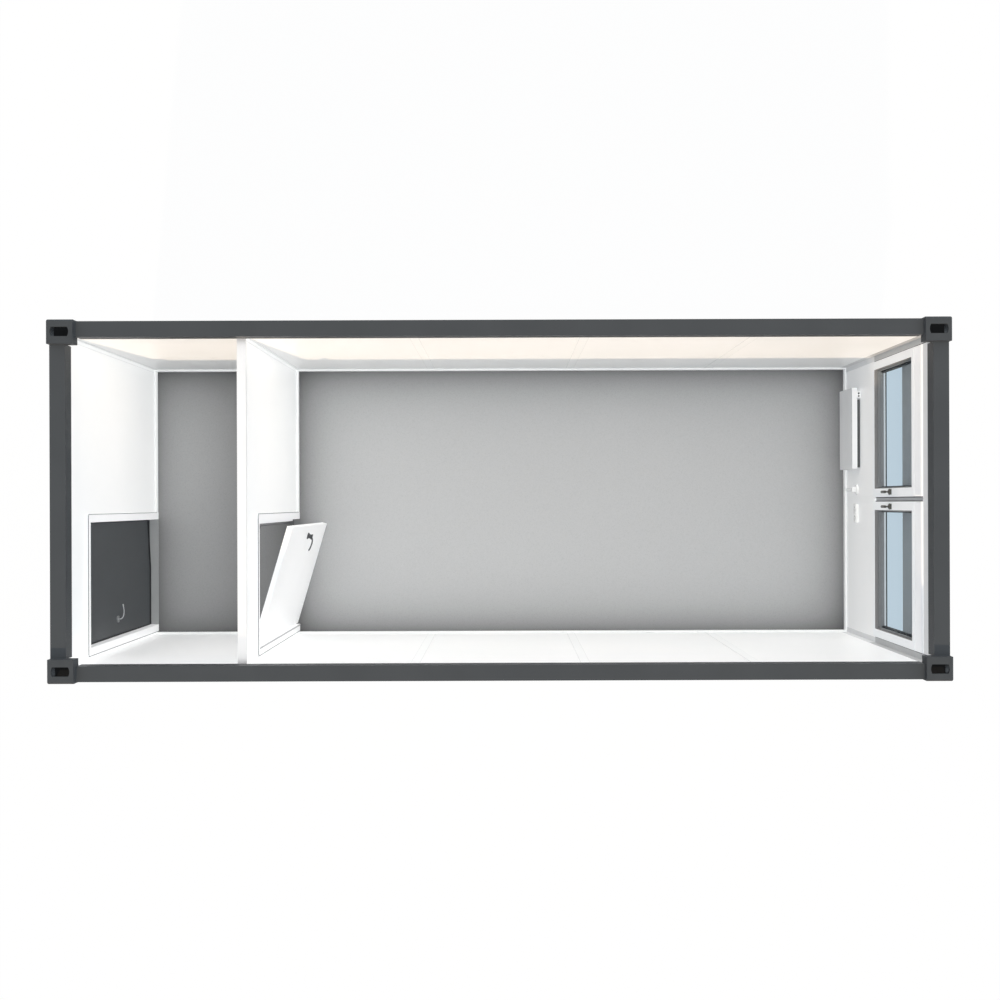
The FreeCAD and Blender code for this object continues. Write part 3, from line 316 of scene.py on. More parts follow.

# %% [markdown]
# The floor is a grey vinyl sheet: a matt film over flecks of darker and paler grey, each about 4 mm
# across. Painted shade darkens it towards the skirtings and over the west room. Under it lies raw
# chipboard, pressed from wood flakes. The window panes are sealed double glazing, which is clear with a
# touch of blue.

# %% Vinyl, chipboard and glass
def flecked(name, base, dark, pale, fleck_mm, share, gloss, depth_mm, shade_pattern=None):
    """Flecks scattered in a base colour: cells are dark or pale where their random number says so. A shade
    pattern multiplies in painted shade.
    """
    material, tree, place = start_material(name)
    cells = add(tree, "ShaderNodeTexVoronoi", {"Vector": place, "Scale": 1 / (fleck_mm * MM)})
    chance = add(tree, "ShaderNodeSeparateColor", {0: cells.outputs["Color"]}).outputs
    wear = between(tree, noise(tree, place, 900, 3.0), 0.0, 0.35)
    worn = blend_colours(tree, wear, colour(base), colour(pale))
    darker = between(tree, chance[0], 0.0, 1.0, 1 - share, 1 - share + 0.02)
    paler = between(tree, chance[1], 0.0, 1.0, 1 - share, 1 - share + 0.02)
    flecks = blend_colours(tree, paler, blend_colours(tree, darker, worn, colour(dark)), colour(pale))
    if shade_pattern:
        flecks = add(tree, "ShaderNodeMix", {0: 1.0, 6: flecks, 7: shade_pattern(tree, place)}, data_type="RGBA",
                     blend_type="MULTIPLY").outputs[2]
    bump = add(tree, "ShaderNodeBump", {"Height": noise(tree, place, fleck_mm), "Distance": depth_mm * MM})
    shader = add(tree, "ShaderNodeBsdfPrincipled", {"Base Color": flecks, "Roughness": gloss,
                                                    "Normal": bump.outputs[0]})
    return surfaced(material, tree, shader)


# Painted shade on the floor: darker towards the skirtings, and over the west room away from its west wall.
FLOOR_EDGE_SHADE = 0.66
FLOOR_EDGE_SHADE_REACH = 0.18
ROOMS_WEST = (-2.915, -1.713)
ROOMS_EAST = (-1.803, 2.915)
LOBBY_WEST_EDGE_SHADE = 0.61
LOBBY_SHADE = 0.56
LOBBY_SHADE_REACH = (-2.90, -2.26)


def painted_floor_shade(tree, place):
    """Painted shade: one in the open, less near the skirtings, and less over the west room away from its west
    wall.
    """
    axes = add(tree, "ShaderNodeSeparateXYZ", {0: place}).outputs
    side = maths(tree, "ABSOLUTE", axes["Y"])
    in_main = maths(tree, "GREATER_THAN", axes["X"], sum((ROOMS_WEST[1], ROOMS_EAST[0])) / 2)
    west = between(tree, in_main, ROOMS_WEST[0], ROOMS_WEST[1], 0.0, 1.0)
    east = between(tree, in_main, ROOMS_EAST[0], ROOMS_EAST[1], 0.0, 1.0)
    west_share = between(tree, in_main, -LOBBY_WEST_EDGE_SHADE, -FLOOR_EDGE_SHADE, 0.0, 1.0)
    clear = None
    for far, near, drop in ((axes["X"], west, west_share), (east, axes["X"], -FLOOR_EDGE_SHADE),
                            (room_y_inner, side, -FLOOR_EDGE_SHADE)):
        gap = maths(tree, "SUBTRACT", far, near)
        held = maths(tree, "MAXIMUM", gap, 0.0)
        scaled = maths(tree, "MULTIPLY", held, -1 / FLOOR_EDGE_SHADE_REACH)
        fall = maths(tree, "EXPONENT", scaled)
        share = maths(tree, "MULTIPLY_ADD", fall, drop, 1.0)
        clear = share if clear is None else maths(tree, "MULTIPLY", clear, share)
    lobby = between(tree, axes["X"], 1.0, LOBBY_SHADE, *LOBBY_SHADE_REACH)
    lobby = maths(tree, "MAXIMUM", lobby, in_main)
    return maths(tree, "MULTIPLY", clear, lobby)


room_y_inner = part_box("floor_covering")[1].y - 0.015
floor_vinyl = flecked("calendered_vinyl_sheet_grey", "#b4b5b5", "#b0b1b1", "#b7b8b8", 6, 0.2, 0.6, 0.05,
                      painted_floor_shade)
chipboard = flecked("pressed_chipboard", "#b08a5e", "#94703f", "#c7a376", 7, 0.35, 0.8, 0.4)


def double_glazing():
    """Thin clear sheets: nearly all light passes straight through, and a little is mirrored or bent."""
    material, tree, place = start_material("sealed_double_glazing_clear")
    shader = add(tree, "ShaderNodeBsdfPrincipled", {
        "Base Color": colour("#eef4f7"), "Roughness": 0.02, "IOR": 1.45, "Transmission Weight": 1.0})
    straight = add(tree, "ShaderNodeBsdfTransparent", {"Color": colour("#fafcfd")})
    shadow = add(tree, "ShaderNodeLightPath").outputs["Is Shadow Ray"]
    share = maths(tree, "MAXIMUM", shadow, 0.992)
    mixed = add(tree, "ShaderNodeMixShader", {0: share, 1: shader.outputs[0], 2: straight.outputs[0]})
    return surfaced(material, tree, mixed)


pane_glass = double_glazing()
print("floor and glass:", floor_vinyl.name, chipboard.name, pane_glass.name)

# %% [markdown]
# A wall panel is white inside and pale grey outside, but it is one solid. The place on the object tells
# the two skins apart: whatever lies beyond the middle of the wall is outside.

# %% Panels with two skins
room_x = (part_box("floor_covering")[1].x, 0.030)
room_y = (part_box("floor_covering")[1].y, 0.030)


def two_skins():
    """White inside the room's box, pale grey beyond it, and slightly greyer on the faces that look up."""
    material, tree, place = start_material("coil_coated_sandwich_panel")
    axes = add(tree, "ShaderNodeSeparateXYZ", {0: place}).outputs
    beyond = []
    for axis, (reach, margin) in ((axes["X"], room_x), (axes["Y"], room_y)):
        size = maths(tree, "ABSOLUTE", axis)
        beyond.append(maths(tree, "GREATER_THAN", size, reach + margin))
    outside = maths(tree, "MAXIMUM", beyond[0], beyond[1])
    cloud = between(tree, noise(tree, place, 900, 4.0), 0.0, 1.0)
    looks_up = maths(tree, "GREATER_THAN", upward(tree), 0.5)
    skin = blend_colours(tree, cloud, colour("#f6f6f5"), colour("#f3f4f3"))
    inner = blend_colours(tree, looks_up, skin, colour("#f1f1f1"))
    outer = blend_colours(tree, cloud, colour("#c6c9c9"), colour("#bec1c1"))
    grain = noise(tree, place, 50, 3.0)
    bump = add(tree, "ShaderNodeBump", {"Height": grain, "Distance": 0.12 * MM})
    shader = add(tree, "ShaderNodeBsdfPrincipled", {
        "Base Color": blend_colours(tree, outside, inner, outer),
        "Roughness": between(tree, grain, 0.36, 0.44), "Normal": bump.outputs[0]})
    return surfaced(material, tree, shader)


panel_skins = two_skins()
DRESS = {
    frame_paint: ("corner_posts", "top_rails", "base_rail_north", "base_rail_south", "base_end_rails",
                  "forklift_pockets"),
    casting_paint: ("top_corner_castings", "bottom_corner_castings"),
    panel_skins: ("north_wall_panels", "south_wall_panels", "west_wall_panel", "west_wall_over_door",
                  "east_wall_panels", "east_wall_window_posts", "partition_panel", "partition_over_door",
                  "doorway_fillers"),
    trim_white: ("wall_joint_strips", "corner_trims", "skirting_boards"),
    floor_vinyl: ("floor_covering",),
    chipboard: ("floor_board",),
    galvanised: ("floor_joists", "floor_underside"),
    powder_white: ("outer_door_frame", "inner_door_frame", "inner_door_leaf", "inner_frame_hinges",
                   "inner_door_leaf_hinges"),
    powder_anthracite: ("outer_door_leaf",),
    threshold_grey: ("outer_door_threshold",),
    anodised: ("window_sills",),
    brushed_steel: ("outer_frame_hinges", "outer_door_leaf_hinges", "outer_door_roses", "outer_door_lever"),
    dark_lever: ("inner_door_roses", "inner_door_lever"),
    window_white: ("window_frames", "window_sashes"),
    pane_glass: ("window_panes",),
    olive_handle: ("window_handles",),
    shutter_white: ("shutter_boxes", "shutter_guides"),
    slat_grey: ("shutter_curtains",),
    powder_light_grey: ("heater_casing", "heater_brackets_and_knob"),
    socket_white: ("wall_sockets",),
}
for material, names in DRESS.items():
    for name in names:
        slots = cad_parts[name].data.materials
        slots.clear()
        slots.append(material)
print("dressed", sum(len(names) for names in DRESS.values()), "of", len(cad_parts), "nodes")

# %% [markdown]
# ## Small parts that repeat
# Screws, slats and slots are one small shape set down many times. Two Geometry Nodes trees make them all.
# The first puts copies of a part on points, each point with a direction that the copy faces and each
# point repeated in even steps. The second sweeps a round bead along edges, for gaskets, sealant, weld
# seams and lines of painted shade, and can make the bead uneven.

# %% Trees for copies and beads
def open_tree(name, sockets):
    """A Geometry Nodes tree with its named inputs, and the nodes where it starts and ends."""
    tree = bpy.data.node_groups.new(name, "GeometryNodeTree")
    tree.interface.new_socket("Geometry", in_out="INPUT", socket_type="NodeSocketGeometry")
    for label, kind in sockets:
        tree.interface.new_socket(label, in_out="INPUT", socket_type="NodeSocket" + kind)
    tree.interface.new_socket("Geometry", in_out="OUTPUT", socket_type="NodeSocketGeometry")
    return tree, add(tree, "NodeGroupInput").outputs


def close_tree(tree, shape, finish):
    """Every tree ends alike: real faces, then their finish."""
    real = add(tree, "GeometryNodeRealizeInstances", {"Geometry": shape}).outputs[0]
    done = add(tree, "GeometryNodeSetMaterial", {"Geometry": real, "Material": finish}).outputs[0]
    add(tree, "NodeGroupOutput", {"Geometry": done})
    return tree


def copies_tree():
    """Copies of a part on points: Count copies from each point, one Step apart, facing its direction."""
    tree, given = open_tree("copies_on_points", (("Part", "Object"), ("Count", "Int"), ("Step", "Vector"),
                                                 ("Finish", "Material")))
    rows = add(tree, "GeometryNodeDuplicateElements",
               {"Geometry": given["Geometry"], "Amount": given["Count"]}, domain="POINT").outputs
    shift = add(tree, "ShaderNodeVectorMath", {0: given["Step"], "Scale": rows["Duplicate Index"]},
                operation="SCALE").outputs[0]
    spread = add(tree, "GeometryNodeSetPosition", {"Geometry": rows["Geometry"], "Offset": shift}).outputs[0]
    facing = add(tree, "GeometryNodeInputNamedAttribute", {"Name": "facing"},
                 data_type="FLOAT_VECTOR").outputs[0]
    turned = add(tree, "FunctionNodeAlignRotationToVector", {"Vector": facing}, axis="Z").outputs[0]
    part = add(tree, "GeometryNodeObjectInfo", {"Object": given["Part"]}).outputs["Geometry"]
    placed = add(tree, "GeometryNodeInstanceOnPoints",
                 {"Points": spread, "Instance": part, "Rotation": turned})
    return close_tree(tree, placed.outputs[0], given["Finish"])


def bead_tree():
    """A round bead along edges, Thickness across, pushed in and out by up to Unevenness."""
    tree, given = open_tree("bead_along_edges", (("Thickness", "Float"), ("Unevenness", "Float"),
                                                 ("Spacing", "Float"), ("Finish", "Material")))
    path = add(tree, "GeometryNodeMeshToCurve", {"Mesh": given["Geometry"]}).outputs[0]
    steps = add(tree, "GeometryNodeResampleCurve", {"Curve": path, "Length": given["Spacing"]}, mode="LENGTH")
    radius = maths(tree, "MULTIPLY", given["Thickness"], 0.5)
    ring = add(tree, "GeometryNodeCurvePrimitiveCircle", {"Resolution": 8, "Radius": radius}).outputs[0]
    tube = add(tree, "GeometryNodeCurveToMesh", {"Curve": steps.outputs[0], "Profile Curve": ring,
                                                 "Fill Caps": True}).outputs[0]
    wobble = add(tree, "ShaderNodeTexNoise", {"Scale": 160.0, "Detail": 1.0}).outputs["Fac"]
    swing = add(tree, "ShaderNodeMapRange", {"Value": wobble, "To Min": -1.0, "To Max": 1.0}).outputs[0]
    amount = maths(tree, "MULTIPLY", swing, given["Unevenness"])
    outwards = add(tree, "GeometryNodeInputNormal").outputs[0]
    push = add(tree, "ShaderNodeVectorMath", {0: outwards, "Scale": amount}, operation="SCALE").outputs[0]
    uneven = add(tree, "GeometryNodeSetPosition", {"Geometry": tube, "Offset": push}).outputs[0]
    return close_tree(tree, uneven, given["Finish"])


copies = copies_tree()
beads = bead_tree()
print("trees:", copies.name, beads.name)

# %% [markdown]
# A tree runs on a base mesh of points or edges. Its result becomes a plain mesh with no modifier left,
# and that piece is handed to the body it moves with.

# %% Running a tree and handing over a piece
def show(name, mesh):
    item = bpy.data.objects.new(name, mesh)
    bpy.context.scene.collection.objects.link(item)
    return item


def hand_over(item, body, slot, *replaced):
    """The piece moves with a body and stands for any solids named. The slot is not used."""
    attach(item, body)
    if replaced:
        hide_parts(*replaced)
    print(item.name, "has", len(item.data.polygons), "faces and moves with", body)
    return item


def grow(name, tree, base_mesh, **inputs):
    """Run a tree on a base mesh and keep the result as a plain mesh."""
    base = show(name + "_base", base_mesh)
    modifier = base.modifiers.new("tree", "NODES")
    modifier.node_group = tree
    for socket in tree.interface.items_tree:
        if socket.in_out == "INPUT" and socket.name in inputs:
            modifier[socket.identifier] = inputs[socket.name]
    depsgraph = bpy.context.evaluated_depsgraph_get()
    mesh = bpy.data.meshes.new_from_object(base.evaluated_get(depsgraph), depsgraph=depsgraph)
    mesh.name = name
    bpy.data.objects.remove(base)
    return show(name, mesh)


def points_mesh(places):
    """Points, each a place and the direction that its copy faces."""
    mesh = bpy.data.meshes.new("points")
    mesh.from_pydata([place for place, facing in places], [], [])
    facings = mesh.attributes.new("facing", "FLOAT_VECTOR", "POINT")
    for at, (place, facing) in enumerate(places):
        facings.data[at].vector = facing
    return mesh


def lines_mesh(paths, closed):
    """Edges along paths of points; closed paths end where they start."""
    corners, edges = [], []
    for path in paths:
        first = len(corners)
        corners.extend(path)
        edges.extend((first + at, first + at + 1) for at in range(len(path) - 1))
        if closed:
            edges.append((len(corners) - 1, first))
    mesh = bpy.data.meshes.new("lines")
    mesh.from_pydata(corners, edges, [])
    return mesh


def bead(name, paths, finish, slot, thick, spacing, uneven=0.0, closed=False):
    """A bead along paths, on the container."""
    made = grow(name, beads, lines_mesh(paths, closed), Thickness=thick, Unevenness=uneven, Spacing=spacing,
                Finish=finish)
    return hand_over(made, "container", slot)


def set_down(name, part, places, finish, slot, count=1, step=(0.0, 0.0, 0.0), *replaced):
    """Copies of a part on the container. The part itself is removed when they are there."""
    made = grow(name, copies, points_mesh(places), Part=part, Count=count, Step=step, Finish=finish)
    hand_over(made, "container", slot, *replaced)
    bpy.data.objects.remove(part)


def slab(shape, low, high, bevel=0.0):
    """A box between two corners, its edges rounded off, added to a bmesh."""
    low, high = Vector(low), Vector(high)
    place = Matrix.Translation((low + high) / 2) @ Matrix.Diagonal((high - low).to_4d())
    made = bmesh.ops.create_cube(shape, size=1.0, matrix=place)
    if bevel:
        edges = list({edge for corner in made["verts"] for edge in corner.link_edges})
        bmesh.ops.bevel(shape, geom=edges, offset=bevel, segments=2, affect="EDGES", profile=0.7)


def from_bmesh(name, shape, material):
    mesh = bpy.data.meshes.new(name)
    shape.to_mesh(mesh)
    shape.free()
    mesh.materials.append(material)
    return show(name, mesh)


def slabs(name, material, boxes, bevel=0.0):
    """One piece of several rounded boxes, each given by its two corners in metres."""
    shape = bmesh.new()
    for low, high in boxes:
        slab(shape, low, high, bevel)
    return from_bmesh(name, shape, material)


def fit_slabs(name, material, boxes, slot, bevel=0.0, *replaced):
    """Rounded boxes as one piece on the container."""
    return hand_over(slabs(name, material, boxes, bevel), "container", slot, *replaced)


def span(side, near, far):
    """From near to far on one side of the middle, the lower value first."""
    return sorted((side * near, side * far))


def smooth_path(points, steps):
    """Points along a curve that passes smoothly through the given ones."""
    points = [Vector(point) for point in points]
    path = []
    for at in range(len(points) - 1):
        before = points[max(at - 1, 0)]
        start, end = points[at], points[at + 1]
        after = points[min(at + 2, len(points) - 1)]
        for step in range(steps):
            t = step / steps
            path.append(0.5 * (2 * start + (end - before) * t
                               + (2 * before - 5 * start + 4 * end - after) * t ** 2
                               + (3 * start - before - 3 * end + after) * t ** 3))
    return path + [points[-1]]


def swept(shape, path, radii, up, sides=16, wide=1.0):
    """Rings along a path, each with its own radius, joined by smooth faces. Wide stretches them along up."""
    up = Vector(up)
    rings = []
    for at, (point, radius) in enumerate(zip(path, radii)):
        ahead = Vector(path[min(at + 1, len(path) - 1)]) - Vector(path[max(at - 1, 0)])
        side = ahead.cross(up).normalized()
        turns = [step * math.tau / sides for step in range(sides)]
        outwards = [math.cos(turn) * side + wide * math.sin(turn) * up for turn in turns]
        rings.append([shape.verts.new(Vector(point) + radius * out) for out in outwards])
    made = [shape.faces.new(rings[0][::-1]), shape.faces.new(rings[-1])]
    for first, second in zip(rings, rings[1:]):
        for at in range(sides):
            after = (at + 1) % sides
            face = shape.faces.new((first[at], first[after], second[after], second[at]))
            face.smooth = True
            made.append(face)
    bmesh.ops.recalc_face_normals(shape, faces=made)


print("ready to make pieces")

# %% [markdown]
# ## Roller shutters
# Each shutter is a curtain of slats, roll formed from aluminium strip, that hangs half way down behind
# its window. A slat is a shallow arch about 36 mm tall. One slat is drawn as a section and pulled along
# the window, and the copies tree stacks sixteen of them.

# %% Slats
curtain_low, curtain_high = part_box("shutter_curtains")
curtain_inner = min(abs(corner.co.y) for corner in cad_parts["shutter_curtains"].data.vertices)
SLAT_COUNT = 16
SLAT_STEPS = 6
SKIN = 1.6 * MM
slat_pitch = (curtain_high.z - curtain_low.z) / SLAT_COUNT
slat_deep = curtain_high.x - curtain_low.x


def slat_section():
    """The arch's outer side going up and its inner side coming down."""
    outer, inner = [], []
    for at in range(SLAT_STEPS + 1):
        share = at / SLAT_STEPS
        arch = slat_deep * (0.25 + 0.75 * math.sin(math.pi * share) ** 0.6)
        outer.append((arch, share * slat_pitch * 0.97))
        inner.append((arch - SKIN, share * slat_pitch * 0.97))
    return outer + inner[::-1]


slat = bmesh.new()
section = slat_section()
ends = []
for along in (0.0, curtain_high.y - curtain_inner):
    ends.append([slat.verts.new((across, along, up)) for across, up in section])
count = len(section)
for at in range(count):
    after = (at + 1) % count
    slat.faces.new((ends[0][at], ends[0][after], ends[1][after], ends[1][at]))
slat.faces.new(ends[0][::-1])
slat.faces.new(ends[1])
bmesh.ops.recalc_face_normals(slat, faces=slat.faces)
slat_part = from_bmesh("slat", slat, slat_grey)
starts = [((curtain_low.x, curtain_inner, curtain_low.z), (0, 0, 1)),
          ((curtain_low.x, curtain_low.y, curtain_low.z), (0, 0, 1))]
set_down("shutter_slats", slat_part, starts, slat_grey, "shutter_grey", SLAT_COUNT, (0.0, 0.0, slat_pitch),
         "shutter_curtains")

# %% [markdown]
# A rubber strip lies along the outer edge of each sill, where the last slat comes to rest. Brush seals as
# tall as the window line both guides and keep the wind from the slats.

# %% Sill strips and brush seals
sill_low, sill_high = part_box("window_sills")
sash_low, sash_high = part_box("window_sashes")
pane_low, pane_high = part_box("window_panes")
pane_inner = min(abs(corner.co.y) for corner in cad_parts["window_panes"].data.vertices)
opening = (pane_inner, pane_high.y)
BRUSH_OUT = (18 * MM, 33 * MM)
BRUSH_IN = (33 * MM, 17 * MM)
brush_x = (sash_high.x + 0.5 * MM, curtain_high.x + 5 * MM)
strips = []
for side in (1, -1):
    y0, y1 = span(side, opening[0] - 0.03, opening[1] + 0.03)
    strips.append(((sill_high.x, y0, sill_low.z - 0.004), (sill_high.x + 0.008, y1, sill_high.z + 0.003)))
    for near, far in ((opening[0] - BRUSH_IN[0], opening[0] + BRUSH_IN[1]),
                      (opening[1] - BRUSH_OUT[0], opening[1] + BRUSH_OUT[1])):
        y0, y1 = span(side, near, far)
        strips.append(((brush_x[0], y0, sill_high.z + 0.004), (brush_x[1], y1, curtain_high.z)))
fit_slabs("shutter_seals", seal_black, strips, "shutter_grey")

# %% [markdown]
# ## Windows
# The glazing is two thin sheets with a dark spacer between their edges. The rebate round it is grey painted
# shade, with a pale bead towards the outside on the jambs. The post between the two windows has a cover of
# grey painted shade, with black lines of painted shade down both sides.

# %% Panes, rebates and cover
SHEET_GLASS = 4 * MM
REVEAL_SKIN = 1.2 * MM
SPACER = 9 * MM
FREE = 0.3 * MM
sheets, spacers, greys, pales = [], [], [], []
for side in (1, -1):
    glass_y = span(side, opening[0] + REVEAL_SKIN + FREE, opening[1] - REVEAL_SKIN - FREE)
    foot, top = pane_low.z + REVEAL_SKIN + FREE, pane_high.z - FREE
    for x0 in (pane_low.x, pane_high.x - SHEET_GLASS):
        sheets.append(((x0, glass_y[0], foot), (x0 + SHEET_GLASS, glass_y[1], top)))
    gap_x = (pane_low.x + SHEET_GLASS, pane_high.x - SHEET_GLASS)
    spacers.append(((gap_x[0], glass_y[0], foot), (gap_x[1], glass_y[1], foot + SPACER)))
    spacers.append(((gap_x[0], glass_y[0], top - SPACER), (gap_x[1], glass_y[1], top)))
    for y0 in (glass_y[0], glass_y[1] - SPACER):
        spacers.append(((gap_x[0], y0, foot + SPACER), (gap_x[1], y0 + SPACER, top - SPACER)))
    y0, y1 = span(side, opening[0], opening[1])
    front, back = sash_low.x + 0.5 * MM, sash_high.x - 0.5 * MM
    greys.append(((front, y0, pane_low.z), (back, y1, pane_low.z + REVEAL_SKIN)))
    lip_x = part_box("window_frames")[1].x
    greys.append(((back + FREE, y0, sash_low.z + 0.0140), (lip_x, y1, sash_low.z + 0.0152)))
    greys.append(((lip_x + FREE, y0, sill_high.z), (lip_x + 0.016, y1, sill_high.z + 0.001)))
    middle = (front + back) / 2
    y0, y1 = span(side, opening[1] - REVEAL_SKIN, opening[1])
    greys.append(((front, y0, pane_low.z + REVEAL_SKIN), (middle, y1, pane_high.z)))
    pales.append(((middle, y0, pane_low.z + REVEAL_SKIN), (back, y1, pane_high.z)))
fit_slabs("glass_sheets", pane_glass, sheets, "window_glass", 0.0, "window_panes")
fit_slabs("glass_spacers", rebate_shade_and_spacer_grey, spacers, "window_glass")
fit_slabs("window_rebates", rebate_shade_and_spacer_grey, greys, "window_pvc")
fit_slabs("jamb_beads", window_white, pales, "window_pvc")
POST_FACE, COVER_TOP = 2.944, 0.160
post_y = min(abs(corner.co.y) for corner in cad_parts["window_frames"].data.vertices)
cover_top = curtain_high.z + COVER_TOP
cover = [((POST_FACE - 0.001, -post_y + FREE, sash_low.z), (POST_FACE, post_y - FREE, cover_top))]
fit_slabs("mullion_cover", shade_and_jamb_line_grey, cover, "window_pvc")
seal_x, seal_y = POST_FACE - 0.002, post_y - 0.002
cover_lines = [[(seal_x, side * seal_y, sash_low.z), (seal_x, side * seal_y, cover_top)] for side in (1, -1)]
# Black lines of painted shade down both sides of the cover.
bead("mullion_seals", cover_lines, seal_black, "window_pvc", 8 * MM, 0.1)

# %% [markdown]
# Between the windows and the corners of the room a grey closer covers the ends of the panels, with a dark
# gap next to the window frame; the grey and the dark gap are painted shade. Paler ones of paler painted
# shade lie below them, and over the shutter boxes.

# %% Corner closers
CLOSER_FOOT, CLOSER_TOP = 1.150, 2.590
LINTEL_FOOT = 2.465
PALE_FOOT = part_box("skirting_boards")[1].z
wall_x_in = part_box("floor_covering")[1].x
wall_y_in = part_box("floor_covering")[1].y
frame_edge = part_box("window_frames")[1].y
closers, gaps = [], []
for side in (1, -1):
    y0, y1 = span(side, frame_edge + 5 * MM, wall_y_in + 0.6 * MM)
    closers.append(((wall_x_in - 2 * MM, y0, CLOSER_FOOT), (wall_x_in + 0.6 * MM, y1, CLOSER_TOP)))
    y0, y1 = span(side, wall_y_in - 1.5 * MM, wall_y_in + 0.6 * MM)
    closers.append(((wall_x_in - 48 * MM, y0, CLOSER_FOOT), (wall_x_in - 2 * MM, y1, CLOSER_TOP)))
    y0, y1 = span(side, frame_edge + 0.5 * MM, frame_edge + 5 * MM)
    gaps.append(((wall_x_in - 1 * MM, y0, CLOSER_FOOT), (wall_x_in + 0.6 * MM, y1, CLOSER_TOP)))
lintel_y = frame_edge - 2 * MM
pale_closers = [((low[0], low[1], PALE_FOOT), (high[0], high[1], CLOSER_FOOT)) for low, high in closers]
pale_closers.append(((wall_x_in - 2 * MM, -lintel_y, LINTEL_FOOT),
                     (wall_x_in + 0.6 * MM, lintel_y, CLOSER_TOP)))
fit_slabs("pale_closers", pale_shade_and_sealant, pale_closers, "white_trim")
fit_slabs("corner_closers", closer_shade_grey, closers, "white_trim")
fit_slabs("closer_gaps", shade_sheet_grey, gaps, "white_trim")

# %% [markdown]
# The partition ends below the rails. A folded aluminium profile caps its top edge.

# %% Partition capping
CAP_SHEET, CAP_DROP, WALL_GAP = 1.2 * MM, 14 * MM, 1.5 * MM
part_low, part_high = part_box("partition_panel")
cap_y = wall_y_in - WALL_GAP
cap_parts = [((part_low.x - CAP_SHEET, -cap_y, part_high.z + 0.2 * MM),
              (part_high.x + CAP_SHEET, cap_y, part_high.z + CAP_SHEET))]
for x0 in (part_low.x - CAP_SHEET, part_high.x + 0.2 * MM):
    cap_parts.append(((x0, -cap_y, part_high.z - CAP_DROP),
                      (x0 + CAP_SHEET - 0.2 * MM, cap_y, part_high.z + 0.2 * MM)))
fit_slabs("partition_capping", capping, cap_parts, "white_trim")

# %% [markdown]
# Each window handle is cast: a rounded base plate, a tapering neck and a flattened grip that hangs down.
# Rings of faces along a smooth path give its shape.

# %% Window handles
handle_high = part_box("window_handles")[1]
handle_inner = min(abs(corner.co.y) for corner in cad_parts["window_handles"].data.vertices)
handle_y = (handle_inner + handle_high.y) / 2
pivot_z = handle_high.z - 33 * MM
handles = bmesh.new()
for side in (1, -1):
    y = side * handle_y
    slab(handles, (handle_high.x - 0.009, y - 0.021, pivot_z - 0.032),
         (handle_high.x, y + 0.021, pivot_z + 0.032), 3 * MM)
    out = handle_high.x - 0.008
    neck = [(out, y, pivot_z), (out - 0.010, y, pivot_z), (out - 0.020, y, pivot_z - 0.004),
            (out - 0.028, y, pivot_z - 0.018), (out - 0.0285, y, pivot_z - 0.045),
            (out - 0.0285, y, pivot_z - 0.080), (out - 0.0285, y, pivot_z - 0.114)]
    path = smooth_path(neck, 5)
    last = len(path) - 1
    radii = []
    for at in range(len(path)):
        share = at / last
        if share < 0.36:
            radii.append(max(0.0050, 0.0215 - 0.070 * share))
        else:
            radii.append(min(0.0092, 0.0050 + 0.034 * (share - 0.36)))
    radii[-1] = 0.004
    swept(handles, path, radii, (0, 1, 0), 16, 1.15)
hand_over(from_bmesh("window_handle_castings", handles, olive_handle), "container", "window_handle_metal",
          "window_handles")

# %% [markdown]
# ## Door seals
# Rubber seals line both doorways. A bead follows the edge of the stop in each frame.

# %% Door seals
leaf_low, leaf_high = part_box("outer_door_leaf")
step_low, step_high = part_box("outer_door_threshold")
OUTER_SEAL = 11 * MM
half = OUTER_SEAL / 2
seal_x = leaf_high.x + half
frame_head = leaf_high.z - 13 * MM
y0, y1 = step_low.y + half, step_high.y - half
z0, z1 = leaf_low.z + 1 * MM, frame_head - half
outer_path = [(seal_x, y0, z0), (seal_x, y0, z1), (seal_x, y1, z1), (seal_x, y1, z0)]
bead("outer_door_seal", [outer_path], seal_black, "outer_leaf_paint", OUTER_SEAL, 0.5, closed=True)
INNER_SEAL = 4 * MM
STOP_FACE, STOP_SIDES, STOP_ENDS = -1.771, (-1.026, -0.181), (0.151, 2.153)
stop_x = STOP_FACE + INNER_SEAL / 2
(y0, y1), (z0, z1) = STOP_SIDES, STOP_ENDS
inner_path = [(stop_x, y0, z0), (stop_x, y0, z1), (stop_x, y1, z1), (stop_x, y1, z0)]
bead("inner_door_seal", [inner_path], seal_black, "door_frame_paint", INNER_SEAL, 0.5)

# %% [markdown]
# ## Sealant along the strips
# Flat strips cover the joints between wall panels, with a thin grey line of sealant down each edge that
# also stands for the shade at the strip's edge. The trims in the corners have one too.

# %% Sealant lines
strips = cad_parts["wall_joint_strips"].data.vertices
strip_centres = sorted({round(corner.co.x, 3) for corner in strips if abs(corner.co.y) > 1.0})
wall_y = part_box("wall_joint_strips")[1].y
strip_foot, strip_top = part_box("skirting_boards")[1].z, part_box("north_wall_panels")[1].z
sealant_paths = []
for x in strip_centres:
    outward = 0.001 if strip_centres.index(x) % 2 else -0.001
    for side in (1, -1):
        y = side * (wall_y - 0.0005)
        sealant_paths.append([(x + outward, y, strip_foot), (x + outward, y, strip_top - 0.06)])
trim_inner = 25.5 * MM
east_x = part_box("wall_joint_strips")[1].x
for y in (wall_y - trim_inner, trim_inner - wall_y):
    sealant_paths.append([(east_x - 0.0005, y, strip_foot), (east_x - 0.0005, y, strip_top - 0.06)])
for x, inward in ((-2.93, 1), (-1.788, -1), (-1.728, 1), (east_x, -1)):
    near = x + inward * trim_inner
    sealant_paths.append([(near, wall_y - 0.0005, strip_foot), (near, wall_y - 0.0005, strip_top - 0.07)])
for x, inward in ((-2.93, 1), (-1.728, 1)):
    sealant_paths.append([(x + inward * 0.0005, wall_y - trim_inner, strip_foot),
                          (x + inward * 0.0005, wall_y - trim_inner, strip_top - 0.07)])
